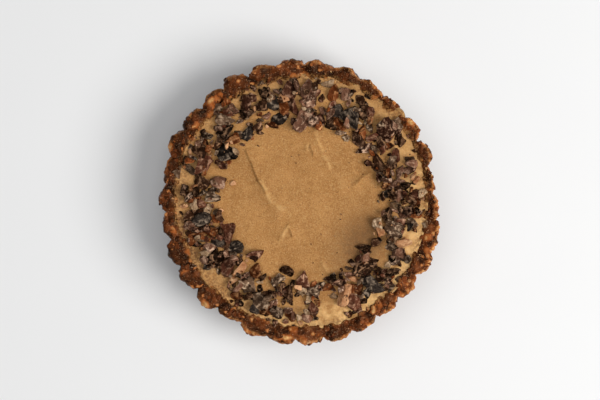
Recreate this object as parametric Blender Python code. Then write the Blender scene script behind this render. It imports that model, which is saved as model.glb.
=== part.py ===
"""Peanut butter tartlet: a fluted shell of pressed dates and nuts, filled to the rim with peanut butter
cream, with a ring of cacao nibs on top. Metres, +Z up, standing on z = 0 with its axis at x = y = 0.

The view from above is the one that matters: +X is to the right there and +Y is up. Angles run
anticlockwise from +X.
"""

import math
import random
from collections import namedtuple

import bmesh
import bpy
from mathutils import Matrix, Vector, noise

MM = 0.001

# Crust: a shell pressed into a 10 cm fluted tin, then turned out
RIM_RADIUS = 49.0 * MM
FOOT_RADIUS = 42.5 * MM
RIM_HEIGHT = 21.2 * MM
FOOT_CHAMFER = 1.2 * MM
FLOOR_HEIGHT = 5.0 * MM
FLUTES = 30
FIRST_RIDGE = math.radians(10)
# How far each flute's ridge, and the groove after it, stands out from RIM_RADIUS, in mm
RIDGES = (-1.0, 0.5, 0.4, -0.4, 0.3, 1.0, 1.4, 1.8, 1.2, 1.8, 1.0, 0.7, 1.5, 0.4, 0.8,
          -0.2, 0.9, 0.8, 0.4, -1.0, 0.4, 1.1, 1.0, 1.6, 1.3, 0.9, 1.0, 1.9, 1.4, -0.5)
GROOVES = (-1.6, -2.2, -2.0, -1.6, -0.2, 0.3, 0.4, -0.5, -0.9, -0.3, -0.6, 0.0, -0.3, -1.0, -1.7,
           -1.5, -0.6, -1.3, -1.6, -1.8, -0.1, 0.0, -0.2, 0.4, -0.8, -0.9, -0.5, 0.6, 0.0, -1.5)
LOBE_ROUNDNESS = 0.75
FLUTE_SHARE_AT_FOOT = 0.7
RIM_TILT = 0.45 * MM
HIGH_SIDE = math.radians(130)
# The crags are two sizes of bump, each with its share of the depth
CRAG_SIZE = 3.2 * MM
CRAG_DEPTH = 0.8 * MM
CRAG_SHARE = 1.3
FINE_CRAG_SIZE = 1.45 * MM
FINE_CRAG_SHARE = 0.6
FINE_CRAG_OFFSET = Vector((7.3, 1.9, 4.4))

# The hollow is pressed out by hand, so it sits a little off the middle and isn't quite round
HOLLOW_RADIUS = 44.0 * MM
HOLLOW_OFFSET = 1.0 * MM
HOLLOW_LOBES = 0.4 * MM
THIN_SIDE = math.radians(50)
HOLLOW_FLOOR_RADIUS = 38.0 * MM
HOLLOW_FILLET = 1.6 * MM
INNER_LIP = 1.7 * MM

# Filling: cream spread level, a little higher in the middle
CREAM_EDGE_HEIGHT = 19.5 * MM
CREAM_CROWN = 0.55 * MM
CREAM_SWELL = 0.22 * MM
SWELL_LENGTH = 14.0 * MM
SWELL_OFFSET = Vector((0, 0, 0.5))
GAP = 0.3 * MM

# Mesh fineness. WALL_LEVELS are shares of the rim's height, and RIM_CROSSING gives shares of the rim's
# width, from its inner edge, with how far below its top each lies.
CRUST_COLUMNS = 6 * FLUTES
WALL_LEVELS = (0.38, 0.7, 0.92)
RIM_CROSSING = ((0.86, 0.2 * MM), (0.5, 0), (0.18, 0.5 * MM))
CREAM_COLUMNS = 72
CREAM_RINGS = (0.24, 0.46, 0.64, 0.79, 0.9, 1.0)

# Cacao nibs. turn is the long axis's angle from the outward direction, in degrees; sizes are in mm.
Nib = namedtuple("Nib", "angle radius length width turn kind")
# The nibs that stand out, one by one, anticlockwise from the right
LARGE_NIBS = (
    Nib(3, 41.0, 4.7, 4.0, 90, "plum"),
    Nib(4, 35.0, 5.0, 3.2, 80, "rose"),
    Nib(17, 41.8, 6.4, 2.8, 10, "rose"),
    Nib(17, 36.5, 4.8, 3.0, 60, "rose"),
    Nib(22, 34.5, 4.4, 3.6, 60, "dark"),
    Nib(28, 31.1, 8.2, 4.0, 75, "dark"),
    Nib(36, 35.6, 5.0, 4.0, 60, "dark"),
    Nib(39, 29.8, 7.0, 2.9, -15, "rose"),
    Nib(40, 39.4, 8.4, 6.0, 70, "plum"),
    Nib(47, 29.8, 6.0, 3.6, 70, "dark"),
    Nib(48, 33.2, 3.8, 3.0, 0, "rust"),
    Nib(54, 39.0, 4.6, 4.1, 0, "dark"),
    Nib(58, 34.6, 8.2, 5.8, 60, "slate"),
    Nib(59, 42.8, 4.8, 2.8, 50, "dark"),
    Nib(63, 30.4, 5.4, 3.6, 45, "rust"),
    Nib(67, 41.0, 4.2, 3.8, 0, "rose"),
    Nib(68, 34.8, 4.6, 3.4, 0, "slate"),
    Nib(73, 40.4, 5.8, 3.4, 0, "rust"),
    Nib(76, 29.8, 4.0, 2.8, 20, "plum"),
    Nib(84, 36.2, 6.6, 4.4, -30, "rose"),
    Nib(86, 41.6, 6.6, 4.6, -20, "rose"),
    Nib(87, 30.0, 11.0, 4.4, -28, "rose"),
    Nib(95, 33.6, 6.4, 4.0, 20, "plum"),
    Nib(96, 40.4, 6.2, 5.0, 0, "plum"),
    Nib(100, 33.6, 4.6, 3.6, 10, "rust"),
    Nib(99, 37.2, 3.6, 2.4, 30, "tan"),
    Nib(104, 30.4, 5.0, 4.0, 90, "slate"),
    Nib(105, 36.2, 4.8, 3.8, 0, "slate"),
    Nib(107, 41.2, 6.2, 3.8, 30, "dark"),
    Nib(112, 36.6, 4.6, 3.4, 60, "dark"),
    Nib(119, 40.8, 5.4, 4.6, 0, "plum"),
    Nib(120, 36.2, 5.6, 3.8, 70, "dark"),
    Nib(119, 30.4, 3.8, 3.0, 90, "dark"),
    Nib(126, 41.6, 4.4, 3.8, 60, "rose"),
    Nib(127, 30.2, 5.4, 3.6, 90, "slate"),
    Nib(132, 39.2, 6.0, 4.2, 30, "ash"),
    Nib(136, 36.0, 6.2, 3.4, 80, "dark"),
    Nib(137, 32.0, 5.8, 3.4, 80, "rust"),
    Nib(147, 30.6, 7.0, 5.6, 20, "slate"),
    Nib(152, 39.8, 5.4, 4.2, 10, "dark"),
    Nib(159, 36.8, 8.0, 4.6, 80, "plum"),
    Nib(166, 29.6, 4.8, 3.6, 0, "rose"),
    Nib(168, 35.0, 5.0, 4.4, 0, "dark"),
    Nib(176, 30.7, 5.0, 3.6, 0, "ash"),
    Nib(177, 38.2, 4.6, 4.0, 0, "rust"),
    Nib(187, 38.8, 4.4, 3.8, 0, "dark"),
    Nib(190, 34.8, 6.2, 5.0, 30, "slate"),
    Nib(198, 39.6, 6.8, 3.4, 20, "rust"),
    Nib(199, 32.5, 4.4, 3.8, 0, "rust"),
    Nib(202, 26.9, 7.4, 4.8, 85, "plum"),
    Nib(206, 31.3, 5.0, 4.0, 0, "slate"),
    Nib(214, 35.6, 6.8, 5.4, 30, "dark"),
    Nib(214, 42.0, 3.8, 3.2, 0, "slate"),
    Nib(215, 27.3, 5.4, 4.6, 0, "slate"),
    Nib(222, 33.8, 6.4, 5.0, 0, "plum"),
    Nib(228, 31.4, 5.4, 2.6, 0, "tan"),
    Nib(229, 36.4, 4.0, 2.4, 0, "tan"),
    Nib(230, 24.1, 6.8, 3.6, -30, "plum"),
    Nib(238, 28.5, 4.8, 4.4, 0, "rust"),
    Nib(239, 33.8, 5.8, 4.6, 0, "ash"),
    Nib(248, 37.4, 6.4, 5.4, 30, "ash"),
    Nib(254, 28.4, 4.8, 4.0, 0, "ash"),
    Nib(258, 39.2, 5.6, 4.0, 80, "ash"),
    Nib(259, 24.4, 4.6, 3.6, 90, "dark"),
    Nib(263, 31.5, 5.4, 3.6, 0, "dark"),
    Nib(272, 27.4, 6.6, 4.2, 0, "plum"),
    Nib(277, 37.7, 5.2, 3.2, 0, "plum"),
    Nib(278, 31.8, 6.0, 3.6, 90, "ash"),
    Nib(288, 31.1, 4.2, 2.4, 90, "rust"),
    Nib(297, 31.2, 5.6, 2.6, 90, "plum"),
    Nib(296, 36.0, 7.6, 4.0, -48, "tan"),
    Nib(298, 41.0, 6.0, 4.6, 20, "plum"),
    Nib(304, 36.1, 4.6, 4.0, 0, "rust"),
    Nib(312, 38.4, 7.4, 5.6, 40, "slate"),
    Nib(316, 32.0, 9.6, 5.2, 80, "dark"),
    Nib(325, 27.4, 4.8, 3.2, 60, "dark"),
    Nib(333, 39.5, 5.2, 4.0, 0, "rose"),
    Nib(339, 38.8, 5.8, 3.2, 21, "tan"),
    Nib(344, 34.0, 6.6, 5.4, 0, "ash"),
    Nib(345, 28.4, 4.4, 3.8, 80, "husk"),
    Nib(352, 31.4, 5.0, 4.0, 60, "dark"),
    Nib(355, 37.4, 6.0, 3.4, 30, "plum"),
)
# Places in the ring where the cream shows: angle, radius, half the width across, half the depth outward
BARE_PATCHES = (
    (25, 40.5, 2.5, 3.0), (47, 43.0, 3.4, 3.4), (71, 45.0, 7.0, 1.8), (112, 41.0, 1.8, 2.7),
    (138, 42.0, 3.3, 2.4), (160, 32.0, 2.8, 2.7), (207, 40.7, 3.2, 2.7), (223, 41.0, 4.2, 2.8),
    (243, 40.0, 2.4, 2.2), (257, 35.0, 2.0, 2.0), (286, 39.5, 4.8, 5.4), (309, 43.4, 5.0, 1.6),
    (327, 32.5, 4.2, 3.2), (344, 42.8, 7.0, 1.3),
)
RING_INNER = 28.0
RING_OUTER = 43.2
SMALL_NIB_COUNT = 80
SMALL_NIB_SIZES = (2.4, 4.6)
KIND_SHARES = {"dark": 6, "plum": 6, "ash": 6, "rust": 4, "rose": 5, "slate": 2, "tan": 1, "husk": 1}
CROWDING = 0.6
NIB_SEED = 11
NIB_CLEARANCE = 1.1 * MM
NIB_SLIMNESS = (0.55, 0.85)
NIB_THICKNESS = (0.62, 0.85)
NIB_SUNK = 0.3
NIB_TILT = math.radians(16)
NIB_ROUGHNESS = 0.16
# An icosahedron has to be this much larger than its nib to fill the nib's outline
CHIP_RADIUS = 1.12

SHARP_EDGE = math.radians(35)
CRUST_COLOUR = (0.15, 0.055, 0.022)
CREAM_COLOUR = (0.44, 0.215, 0.07)
NIB_COLOUR = (0.045, 0.025, 0.02)


def clear_scene():
    """Removes whatever the file starts with."""
    for obj in list(bpy.data.objects):
        bpy.data.objects.remove(obj)


def material(name, colour, roughness):
    """A plain Principled material."""
    made = bpy.data.materials.new(name)
    made.use_nodes = True
    shader = made.node_tree.nodes["Principled BSDF"]
    shader.inputs["Base Color"].default_value = (*colour, 1)
    shader.inputs["Roughness"].default_value = roughness
    shader.inputs["Metallic"].default_value = 0
    return made


def polar(radius, angle, height):
    return Vector((radius * math.cos(angle), radius * math.sin(angle), height))


# Crust

def rim_outline(angle):
    """The fluted outline's radius at the rim: round lobes with narrow grooves between them."""
    place = (angle - FIRST_RIDGE) / (2 * math.pi) * FLUTES
    nearest = round(place)
    aside = place - nearest
    ridge = RIDGES[nearest % FLUTES] * MM
    groove = GROOVES[(nearest if aside >= 0 else nearest - 1) % FLUTES] * MM
    lobe = math.cos(math.pi * abs(aside)) ** LOBE_ROUNDNESS if abs(aside) < 0.5 else 0
    return RIM_RADIUS + groove + (ridge - groove) * lobe


def rim_height(angle):
    """The rim's top, which stands a little higher on one side."""
    return RIM_HEIGHT + RIM_TILT * math.cos(angle - HIGH_SIDE)


def outer_radius(angle, height):
    """The outer wall leans out from the foot to the rim, and its flutes deepen on the way."""
    share = min(1, height / RIM_HEIGHT)
    mean = FOOT_RADIUS + (RIM_RADIUS - FOOT_RADIUS) * share
    flute = FLUTE_SHARE_AT_FOOT + (1 - FLUTE_SHARE_AT_FOOT) * share
    return mean + (rim_outline(angle) - RIM_RADIUS) * flute


def inner_radius(angle, height):
    """The hollow's wall, straight from the fillet at its floor to the rim."""
    turn = angle - THIN_SIDE
    at_rim = HOLLOW_RADIUS + HOLLOW_OFFSET * math.cos(turn) + HOLLOW_LOBES * math.cos(3 * turn)
    foot = FLOOR_HEIGHT + HOLLOW_FILLET
    share = (height - foot) / (RIM_HEIGHT - foot)
    return HOLLOW_FLOOR_RADIUS + (at_rim - HOLLOW_FLOOR_RADIUS) * share


def crag(point):
    """How far the crumbly rim stands out at a point: chopped nuts of CRAG_SIZE in date paste."""
    coarse = noise.noise(point / CRAG_SIZE)
    fine = noise.noise(point / FINE_CRAG_SIZE + FINE_CRAG_OFFSET)
    return CRAG_DEPTH * (CRAG_SHARE * coarse + FINE_CRAG_SHARE * fine)


def crust_rings():
    """Rings of points from the foot, up the outside, over the rim and down to the hollow's floor."""
    angles = [2 * math.pi * k / CRUST_COLUMNS for k in range(CRUST_COLUMNS)]
    rings = [[polar(outer_radius(a, 0) - FOOT_CHAMFER, a, 0) for a in angles]]
    for height in (FOOT_CHAMFER, *(level * RIM_HEIGHT for level in WALL_LEVELS)):
        ring = []
        for a in angles:
            point = polar(outer_radius(a, height), a, height)
            rough = crag(point) * height / RIM_HEIGHT
            ring.append(polar(outer_radius(a, height) + rough, a, height))
        rings.append(ring)
    for across, below in RIM_CROSSING:
        ring = []
        for a in angles:
            top = rim_height(a)
            inner, outer = inner_radius(a, top), outer_radius(a, top)
            radius = inner + (outer - inner) * across
            rough = crag(polar(radius, a, top))
            ring.append(polar(radius, a, top - below + rough))
        rings.append(ring)
    rings.append([polar(inner_radius(a, rim_height(a) - INNER_LIP), a, rim_height(a) - INNER_LIP)
                  for a in angles])
    fillet_top = FLOOR_HEIGHT + HOLLOW_FILLET
    rings.append([polar(HOLLOW_FLOOR_RADIUS, a, fillet_top) for a in angles])
    rings.append([polar(HOLLOW_FLOOR_RADIUS - HOLLOW_FILLET, a, FLOOR_HEIGHT) for a in angles])
    return rings


def closed_mesh(name, rings):
    """A closed mesh over rings of equal count, with its first and last ring closed by a fan."""
    bm = bmesh.new()
    loops = [[bm.verts.new(p) for p in ring] for ring in rings]
    count = len(rings[0])
    for lower, upper in zip(loops, loops[1:]):
        for k in range(count):
            following = (k + 1) % count
            bm.faces.new((lower[k], lower[following], upper[following], upper[k]))
    for loop in (loops[0], loops[-1]):
        middle = bm.verts.new((0, 0, loop[0].co.z))
        for k in range(count):
            bm.faces.new((middle, loop[k], loop[(k + 1) % count]))
    bmesh.ops.recalc_face_normals(bm, faces=bm.faces)
    bmesh.ops.triangulate(bm, faces=bm.faces)
    mesh = bpy.data.meshes.new(name)
    bm.to_mesh(mesh)
    bm.free()
    return mesh


def add_object(name, mesh, finish, collection):
    obj = bpy.data.objects.new(name, mesh)
    mesh.materials.append(finish)
    collection.objects.link(obj)
    return obj


def make_crust(finish, collection):
    crust = add_object("crust", closed_mesh("crust", crust_rings()), finish, collection)
    crust.data.shade_smooth()
    crust.data.set_sharp_from_angle(angle=SHARP_EDGE)
    return crust


# Filling

def cream_height(x, y):
    """The cream's top: level at the rim, slightly crowned, with the spatula's slow swells."""
    share = min(1, math.hypot(x, y) / HOLLOW_RADIUS)
    swell = noise.noise(Vector((x, y, 0)) / SWELL_LENGTH + SWELL_OFFSET)
    return CREAM_EDGE_HEIGHT + CREAM_CROWN * (1 - share ** 2) + CREAM_SWELL * swell


def cream_rings():
    """Rings from the hollow's floor, up its wall at GAP from it, and over the top to the middle."""
    angles = [2 * math.pi * k / CREAM_COLUMNS for k in range(CREAM_COLUMNS)]
    fillet_top = FLOOR_HEIGHT + HOLLOW_FILLET
    rings = [
        [polar(HOLLOW_FLOOR_RADIUS - HOLLOW_FILLET - GAP, a, FLOOR_HEIGHT + GAP) for a in angles],
        [polar(HOLLOW_FLOOR_RADIUS - GAP, a, fillet_top + GAP) for a in angles],
    ]
    for share in reversed(CREAM_RINGS):
        ring = []
        for a in angles:
            edge = inner_radius(a, CREAM_EDGE_HEIGHT) - GAP
            point = polar(edge * share, a, 0)
            ring.append(Vector((point.x, point.y, cream_height(point.x, point.y))))
        rings.append(ring)
    return rings


def is_bare(x, y):
    """Whether a point, in mm, lies in one of the patches where the cream shows."""
    for angle, radius, half_across, half_out in BARE_PATCHES:
        turned = Matrix.Rotation(-math.radians(angle), 2) @ Vector((x, y))
        if math.hypot((turned.x - radius) / half_out, turned.y / half_across) < 1:
            return True
    return False


def small_nibs():
    """Smaller nibs scattered between the large ones, largest first, clear of the bare patches."""
    draw = random.Random(NIB_SEED)
    kinds, weights = zip(*KIND_SHARES.items())
    taken = [(polar(n.radius, math.radians(n.angle), 0), (n.length + n.width) / 4) for n in LARGE_NIBS]
    smallest, largest = SMALL_NIB_SIZES
    found = []
    while len(found) < SMALL_NIB_COUNT:
        length = largest - (largest - smallest) * len(found) / SMALL_NIB_COUNT
        width = length * draw.uniform(*NIB_SLIMNESS)
        angle, radius = draw.uniform(0, 360), draw.uniform(RING_INNER, RING_OUTER)
        turn, kind = draw.uniform(-90, 90), draw.choices(kinds, weights)[0]
        here, reach = polar(radius, math.radians(angle), 0), (length + width) / 4
        crowded = any((here - there).length < CROWDING * (reach + other) for there, other in taken)
        if crowded or is_bare(here.x, here.y):
            continue
        taken.append((here, reach))
        found.append(Nib(angle, radius, length, width, turn, kind))
    return found


def nib_placing(nib, index):
    """Where a nib lies: its half sizes and its matrix, moved in where it would meet the crust."""
    draw = random.Random(NIB_SEED * 1000 + index)
    half = Vector((nib.length, nib.width, nib.width * draw.uniform(*NIB_THICKNESS))) * (MM / 2)
    angle, turn = math.radians(nib.angle), math.radians(nib.turn)
    outward = math.hypot(half.x * math.cos(turn), half.y * math.sin(turn))
    limit = inner_radius(angle, CREAM_EDGE_HEIGHT) - NIB_CLEARANCE - outward
    place = polar(min(nib.radius * MM, limit), angle, 0)
    place.z = cream_height(place.x, place.y) + half.z * (1 - 2 * NIB_SUNK)
    tilt = Matrix.Rotation(draw.uniform(-NIB_TILT, NIB_TILT), 4, "Y")
    roll = Matrix.Rotation(draw.uniform(-NIB_TILT, NIB_TILT), 4, "X")
    return half, Matrix.Translation(place) @ Matrix.Rotation(angle + turn, 4, "Z") @ tilt @ roll


def make_nib(nib, index, finish, collection):
    """One angular chip: an icosahedron of the nib's size with its corners pushed about."""
    half, matrix = nib_placing(nib, index)
    draw = random.Random(index)
    bm = bmesh.new()
    bmesh.ops.create_icosphere(bm, subdivisions=1, radius=CHIP_RADIUS)
    for vert in bm.verts:
        uneven = [1 + draw.uniform(-NIB_ROUGHNESS, NIB_ROUGHNESS) for _ in range(3)]
        vert.co = Vector(c * h * u for c, h, u in zip(vert.co, half, uneven))
    mesh = bpy.data.meshes.new(f"nib_{index}")
    bm.to_mesh(mesh)
    bm.free()
    chip = add_object(f"nib_{index}", mesh, finish, collection)
    chip.matrix_world = matrix
    return chip


def fuse(obj, pieces):
    """Joins a collection's objects to obj as one closed body, then removes them."""
    union = obj.modifiers.new("fuse", "BOOLEAN")
    union.operation = "UNION"
    union.operand_type = "COLLECTION"
    union.collection = pieces
    union.solver = "EXACT"
    union.material_mode = "TRANSFER"
    bpy.context.view_layer.update()
    evaluated = obj.evaluated_get(bpy.context.evaluated_depsgraph_get())
    fused = bpy.data.meshes.new_from_object(evaluated)
    obj.modifiers.clear()
    obj.data = fused
    for piece in list(pieces.objects):
        bpy.data.objects.remove(piece)
    bpy.data.collections.remove(pieces)


def make_filling(cream_finish, nib_finish, collection):
    """The cream with the ring of nibs set in its top."""
    filling = add_object("filling", closed_mesh("filling", cream_rings()), cream_finish, collection)
    filling.data.materials.append(nib_finish)
    chips = bpy.data.collections.new("nibs")
    bpy.context.scene.collection.children.link(chips)
    for index, nib in enumerate([*LARGE_NIBS, *small_nibs()]):
        make_nib(nib, index, nib_finish, chips)
    fuse(filling, chips)
    filling.data.shade_smooth()
    filling.data.set_sharp_from_angle(angle=SHARP_EDGE)
    return filling


def main():
    clear_scene()
    collection = bpy.context.scene.collection
    make_crust(material("crust", CRUST_COLOUR, 0.6), collection)
    cream = material("cream", CREAM_COLOUR, 0.5)
    nibs = material("cacao_nibs", NIB_COLOUR, 0.55)
    make_filling(cream, nibs, collection)


main()
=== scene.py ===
"""Looks of the peanut butter tartlet: a crumbly date and nut crust, spread peanut butter cream and a ring
of cacao nibs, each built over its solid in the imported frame.

The forms that the solids have are worked out here from the same named sizes, so that each fine surface
lies on its solid. Metres, +Z up; angles run anticlockwise from +X as seen from above.
"""

import random
from collections import defaultdict, namedtuple
from math import atan2, cos, degrees, exp, hypot, pi, radians, sin, sqrt, tau

import bmesh
import bpy
import numpy as np
from mathutils import Matrix, Vector, noise


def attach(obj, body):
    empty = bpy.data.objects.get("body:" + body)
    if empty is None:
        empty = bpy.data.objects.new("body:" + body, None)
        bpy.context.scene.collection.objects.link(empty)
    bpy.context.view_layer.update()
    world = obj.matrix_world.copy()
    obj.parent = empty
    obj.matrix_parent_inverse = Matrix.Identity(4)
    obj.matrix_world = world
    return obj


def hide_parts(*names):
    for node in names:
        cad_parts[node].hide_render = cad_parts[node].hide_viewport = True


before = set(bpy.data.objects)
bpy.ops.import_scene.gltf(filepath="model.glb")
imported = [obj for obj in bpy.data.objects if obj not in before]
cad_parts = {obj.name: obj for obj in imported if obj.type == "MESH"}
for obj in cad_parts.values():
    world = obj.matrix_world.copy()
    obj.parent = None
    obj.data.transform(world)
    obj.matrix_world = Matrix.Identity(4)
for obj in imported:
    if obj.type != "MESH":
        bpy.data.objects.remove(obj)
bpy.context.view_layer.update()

MM = 0.001
# Without a seed, Blender takes that of noise_vector from the clock
NOISE_SEED = 7

# Crust: the solid's own sizes
RIM_RADIUS = 49.0 * MM
FOOT_RADIUS = 42.5 * MM
RIM_HEIGHT = 21.2 * MM
FOOT_CHAMFER = 1.2 * MM
FLOOR_HEIGHT = 5.0 * MM
FLUTES = 30
FIRST_RIDGE = radians(10)
# How far each flute's ridge, and the groove after it, stands out from RIM_RADIUS, in mm
RIDGES = (-1.0, 0.5, 0.4, -0.4, 0.3, 1.0, 1.4, 1.8, 1.2, 1.8, 1.0, 0.7, 1.5, 0.4, 0.8,
          -0.2, 0.9, 0.8, 0.4, -1.0, 0.4, 1.1, 1.0, 1.6, 1.3, 0.9, 1.0, 1.9, 1.4, -0.5)
GROOVES = (-1.6, -2.2, -2.0, -1.6, -0.2, 0.3, 0.4, -0.5, -0.9, -0.3, -0.6, 0.0, -0.3, -1.0, -1.7,
           -1.5, -0.6, -1.3, -1.6, -1.8, -0.1, 0.0, -0.2, 0.4, -0.8, -0.9, -0.5, 0.6, 0.0, -1.5)
LOBE_ROUNDNESS = 0.75
FLUTE_SHARE_AT_FOOT = 0.7
RIM_TILT = 0.45 * MM
HIGH_SIDE = radians(130)
CRAG_SIZE = 3.2 * MM
CRAG_DEPTH = 0.8 * MM
CRAG_SHARE = 1.3
FINE_CRAG_SIZE = 1.45 * MM
FINE_CRAG_SHARE = 0.6
FINE_CRAG_OFFSET = Vector((7.3, 1.9, 4.4))
HOLLOW_RADIUS = 44.0 * MM
HOLLOW_OFFSET = 1.0 * MM
HOLLOW_LOBES = 0.4 * MM
THIN_SIDE = radians(50)
HOLLOW_FLOOR_RADIUS = 38.0 * MM
HOLLOW_FILLET = 1.6 * MM
INNER_LIP = 1.7 * MM
WALL_LEVELS = (0.38, 0.7, 0.92)
RIM_CROSSING = ((0.86, 0.2 * MM), (0.5, 0), (0.18, 0.5 * MM))

# Crust: what only shows here
CRUST_COLUMNS = 24 * FLUTES
SECTION_STEPS = (3, 16, 15, 10, 5, 6, 6, 5, 6, 1)
SECTION_SMOOTHING = 4
UNDERSIDE_RINGS = (0.12, 0.35, 0.6, 0.82)
# Bits pressed into the paste, chunks and then crumbs: their size and relief, the least share of it that one
# has, how far all lie in, where a nut's face is whole, how plainly nuts show, and the pattern's offset
Pressed = namedtuple("Pressed", "size relief least sunk whole shown offset")
PRESSED = (Pressed(2.7 * MM, 0.42 * MM, 0.25, 0.35, 0.8, 0.5, Vector((0, 0, 0))),
           Pressed(1.3 * MM, 0.38 * MM, 0.2, 0.3, 0.7, 0.7, Vector((0.031, 0.017, 0.043))))
NUT_SHARE = 0.11
NUT_EDGE = 0.2
NUT_GRIT = 0.5
GRIT_SIZE = 0.6 * MM
GRIT_RELIEF = 0.14 * MM
# The crumb reaches this far inside the hollow's wall, and not to points as low as the foot
CRUMB_INSIDE = 0.5 * MM
FOOT_LEVEL = 1e-6
# The lobes stand out, and the grooves lie in, by a little more than in the solid, and unevenly so
LOBE_GAIN = 0.8 * MM
LOBE_MIDDLE = 0.34
LOBE_LIFT = 0.45
LOBE_UNEVEN = 1.1
LOBE_WANDER = 7.0 * MM
# A film of cream on the rim, whose edge wanders with these lengths and shares
FILM_REACH = 1.7 * MM
FILM_WANDER = ((2.2 * MM, 1), (0.8 * MM, 0.6))
# The crust's colour is painted lighter toward the lit side and darker away from it, as light and shade, by
# these scales from side to side. Its outer edge is golden, as toasted nuts and as painted light, most toward
# the lit side, coming in between two depths below the rim and two distances inside its outline, and it is
# left dark, as painted shade, opposite.
LIT_SIDE = radians(-25)
LIT_SIDE_SCALES = (0.80, 1.25)
LIT_SIDE_SWING = 0.2
TOASTED_BELOW = (2.6 * MM, 1.2 * MM)
TOASTED_BAND = (-1.9 * MM, -0.2 * MM)
SHADED_SIDE = radians(195)
SHADED_SPREAD = radians(32)

# Cream: the solid's own sizes
CREAM_EDGE_HEIGHT = 19.5 * MM
CREAM_CROWN = 0.55 * MM
CREAM_SWELL = 0.22 * MM
SWELL_LENGTH = 14.0 * MM
SWELL_OFFSET = Vector((0, 0, 0.5))
GAP = 0.3 * MM

# Cream: what only shows here
CREAM_COLUMNS = 540
CREAM_RINGS = 96
CREAM_LAP = 1.3 * MM
CLIMB = 0.75 * MM
CLIMB_LENGTH = 1.6 * MM
RISE_LENGTH = 1.2
CLIMB_MEAN = 0.6
CLIMB_UNEVEN = 0.8
CLIMB_WANDER = 3.5 * MM
CLIMB_OFFSET = Vector((3, 8, 1))
RIPPLE_LENGTH = 4.5 * MM
RIPPLE_OFFSET = Vector((0, 0, 9))
RIPPLE = 0.1 * MM
GRAIN_LENGTH = 0.9 * MM
GRAIN_OFFSET = Vector((5, 0, 2))
GRAIN = 0.022 * MM
# Where the cream runs over the rim: middle angle and half width in degrees, reach and rise in mm
Overlap = namedtuple("Overlap", "angle half_width reach rise")
OVERLAPS = (Overlap(42, 7, 2.6, 1.5), Overlap(62, 8, 1.2, 0.8), Overlap(318, 9, 0.8, 0.6),
            Overlap(284, 9, 0.5, 0.4), Overlap(128, 17, -1.5, -0.4))
# Marks that the spatula left, in mm: from one end to the other, height, width of the steep side, which is on
# the left when facing along the mark, length of the gentle side, and how dark the low side is painted, as
# shade. Where that isn't above 0, the steep side has a pale lip painted on as a highlight.
Mark = namedtuple("Mark", "x0 y0 x1 y1 height edge length tint")
MARKS = (
    Mark(-14.0, 6.6, -16.5, 12.9, 0.6, 0.35, 3.0, 1.0), Mark(-16.5, 12.9, -18.9, 18.4, 0.5, 0.35, 3.0, 0.8),
    Mark(-11.9, 3.1, -14.0, 6.6, 0.4, 0.35, 3.0, 1.0), Mark(-14.6, 8.0, -11.9, 3.1, 0.6, 0.8, 2.5, 0.0),
    Mark(-11.9, 3.1, -9.8, -0.5, 0.65, 0.9, 3.0, -0.6), Mark(-9.8, -0.5, -6.0, -3.6, 0.45, 0.9, 3.0, -0.3),
    Mark(-2.5, -12.0, -4.4, -8.0, 0.6, 0.35, 1.8, 0.8), Mark(-4.4, -8.0, -7.2, -12.9, 0.55, 0.6, 2.0, 0.0),
    Mark(4.9, 25.4, 6.3, 20.9, 0.5, 0.7, 3.0, 0.0), Mark(6.3, 20.9, 8.1, 16.7, 0.55, 0.7, 3.0, 0.0),
    Mark(8.1, 16.7, 10.5, 11.4, 0.5, 0.7, 3.0, 0.0), Mark(10.5, 11.4, 15.8, 5.1, 0.2, 0.9, 3.0, 0.0),
    Mark(4.7, 16.3, 3.7, 20.5, 0.45, 0.35, 1.2, 0.7), Mark(2.5, 20.9, 2.5, 17.7, 0.3, 0.4, 1.5, 0.0),
    Mark(18.2, 5.9, 20.3, 6.6, 0.4, 0.7, 2.0, 1.0), Mark(20.3, 6.6, 21.7, 8.7, 0.5, 0.8, 2.0, 1.4),
    Mark(21.7, 8.7, 25.2, 10.8, 0.5, 0.8, 2.0, 1.4), Mark(7.3, -21.2, 10.6, -25.4, 0.5, 0.6, 1.5, -0.5),
)
# How far the painted shade on a mark's low side reaches, and where and how strongly the painted highlight on
# its lip lies
MARK_SHADE_REACH = 3.2
MARK_FADE = 0.12
LIP_HIGHLIGHT_SHIFT = 0.6
LIP_HIGHLIGHT_GAIN = 2
MARK_WANDER = 0.45 * MM
MARK_WANDER_LENGTH = 2.5 * MM
# The outer cream is golden, more so toward the lit side as painted light, and its stained edge is painted
# less dark there, also as painted light
LIT_CREAM_SIDE = radians(-50)
GOLDEN_BAND = (35 * MM, 39 * MM)
GOLDEN_LEAST = 0.25
LIT_SIDE_CLEANER = 0.35
# Where the cream is stained all round, and darker further in on one side, from the hollow's wall outward
STAINED_BAND = (-2.2 * MM, 0.7 * MM)
CREAM_DARK_SIDE = radians(200)
CREAM_DARK_BAND = (-5 * MM, -1 * MM)
# Where dust of the nibs and their painted shadow darken the cream: angle, radius, half the width across, half
# the depth outward
DUST_AND_SHADOW = (326, 25.5, 13.0, 9.0)

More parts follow.
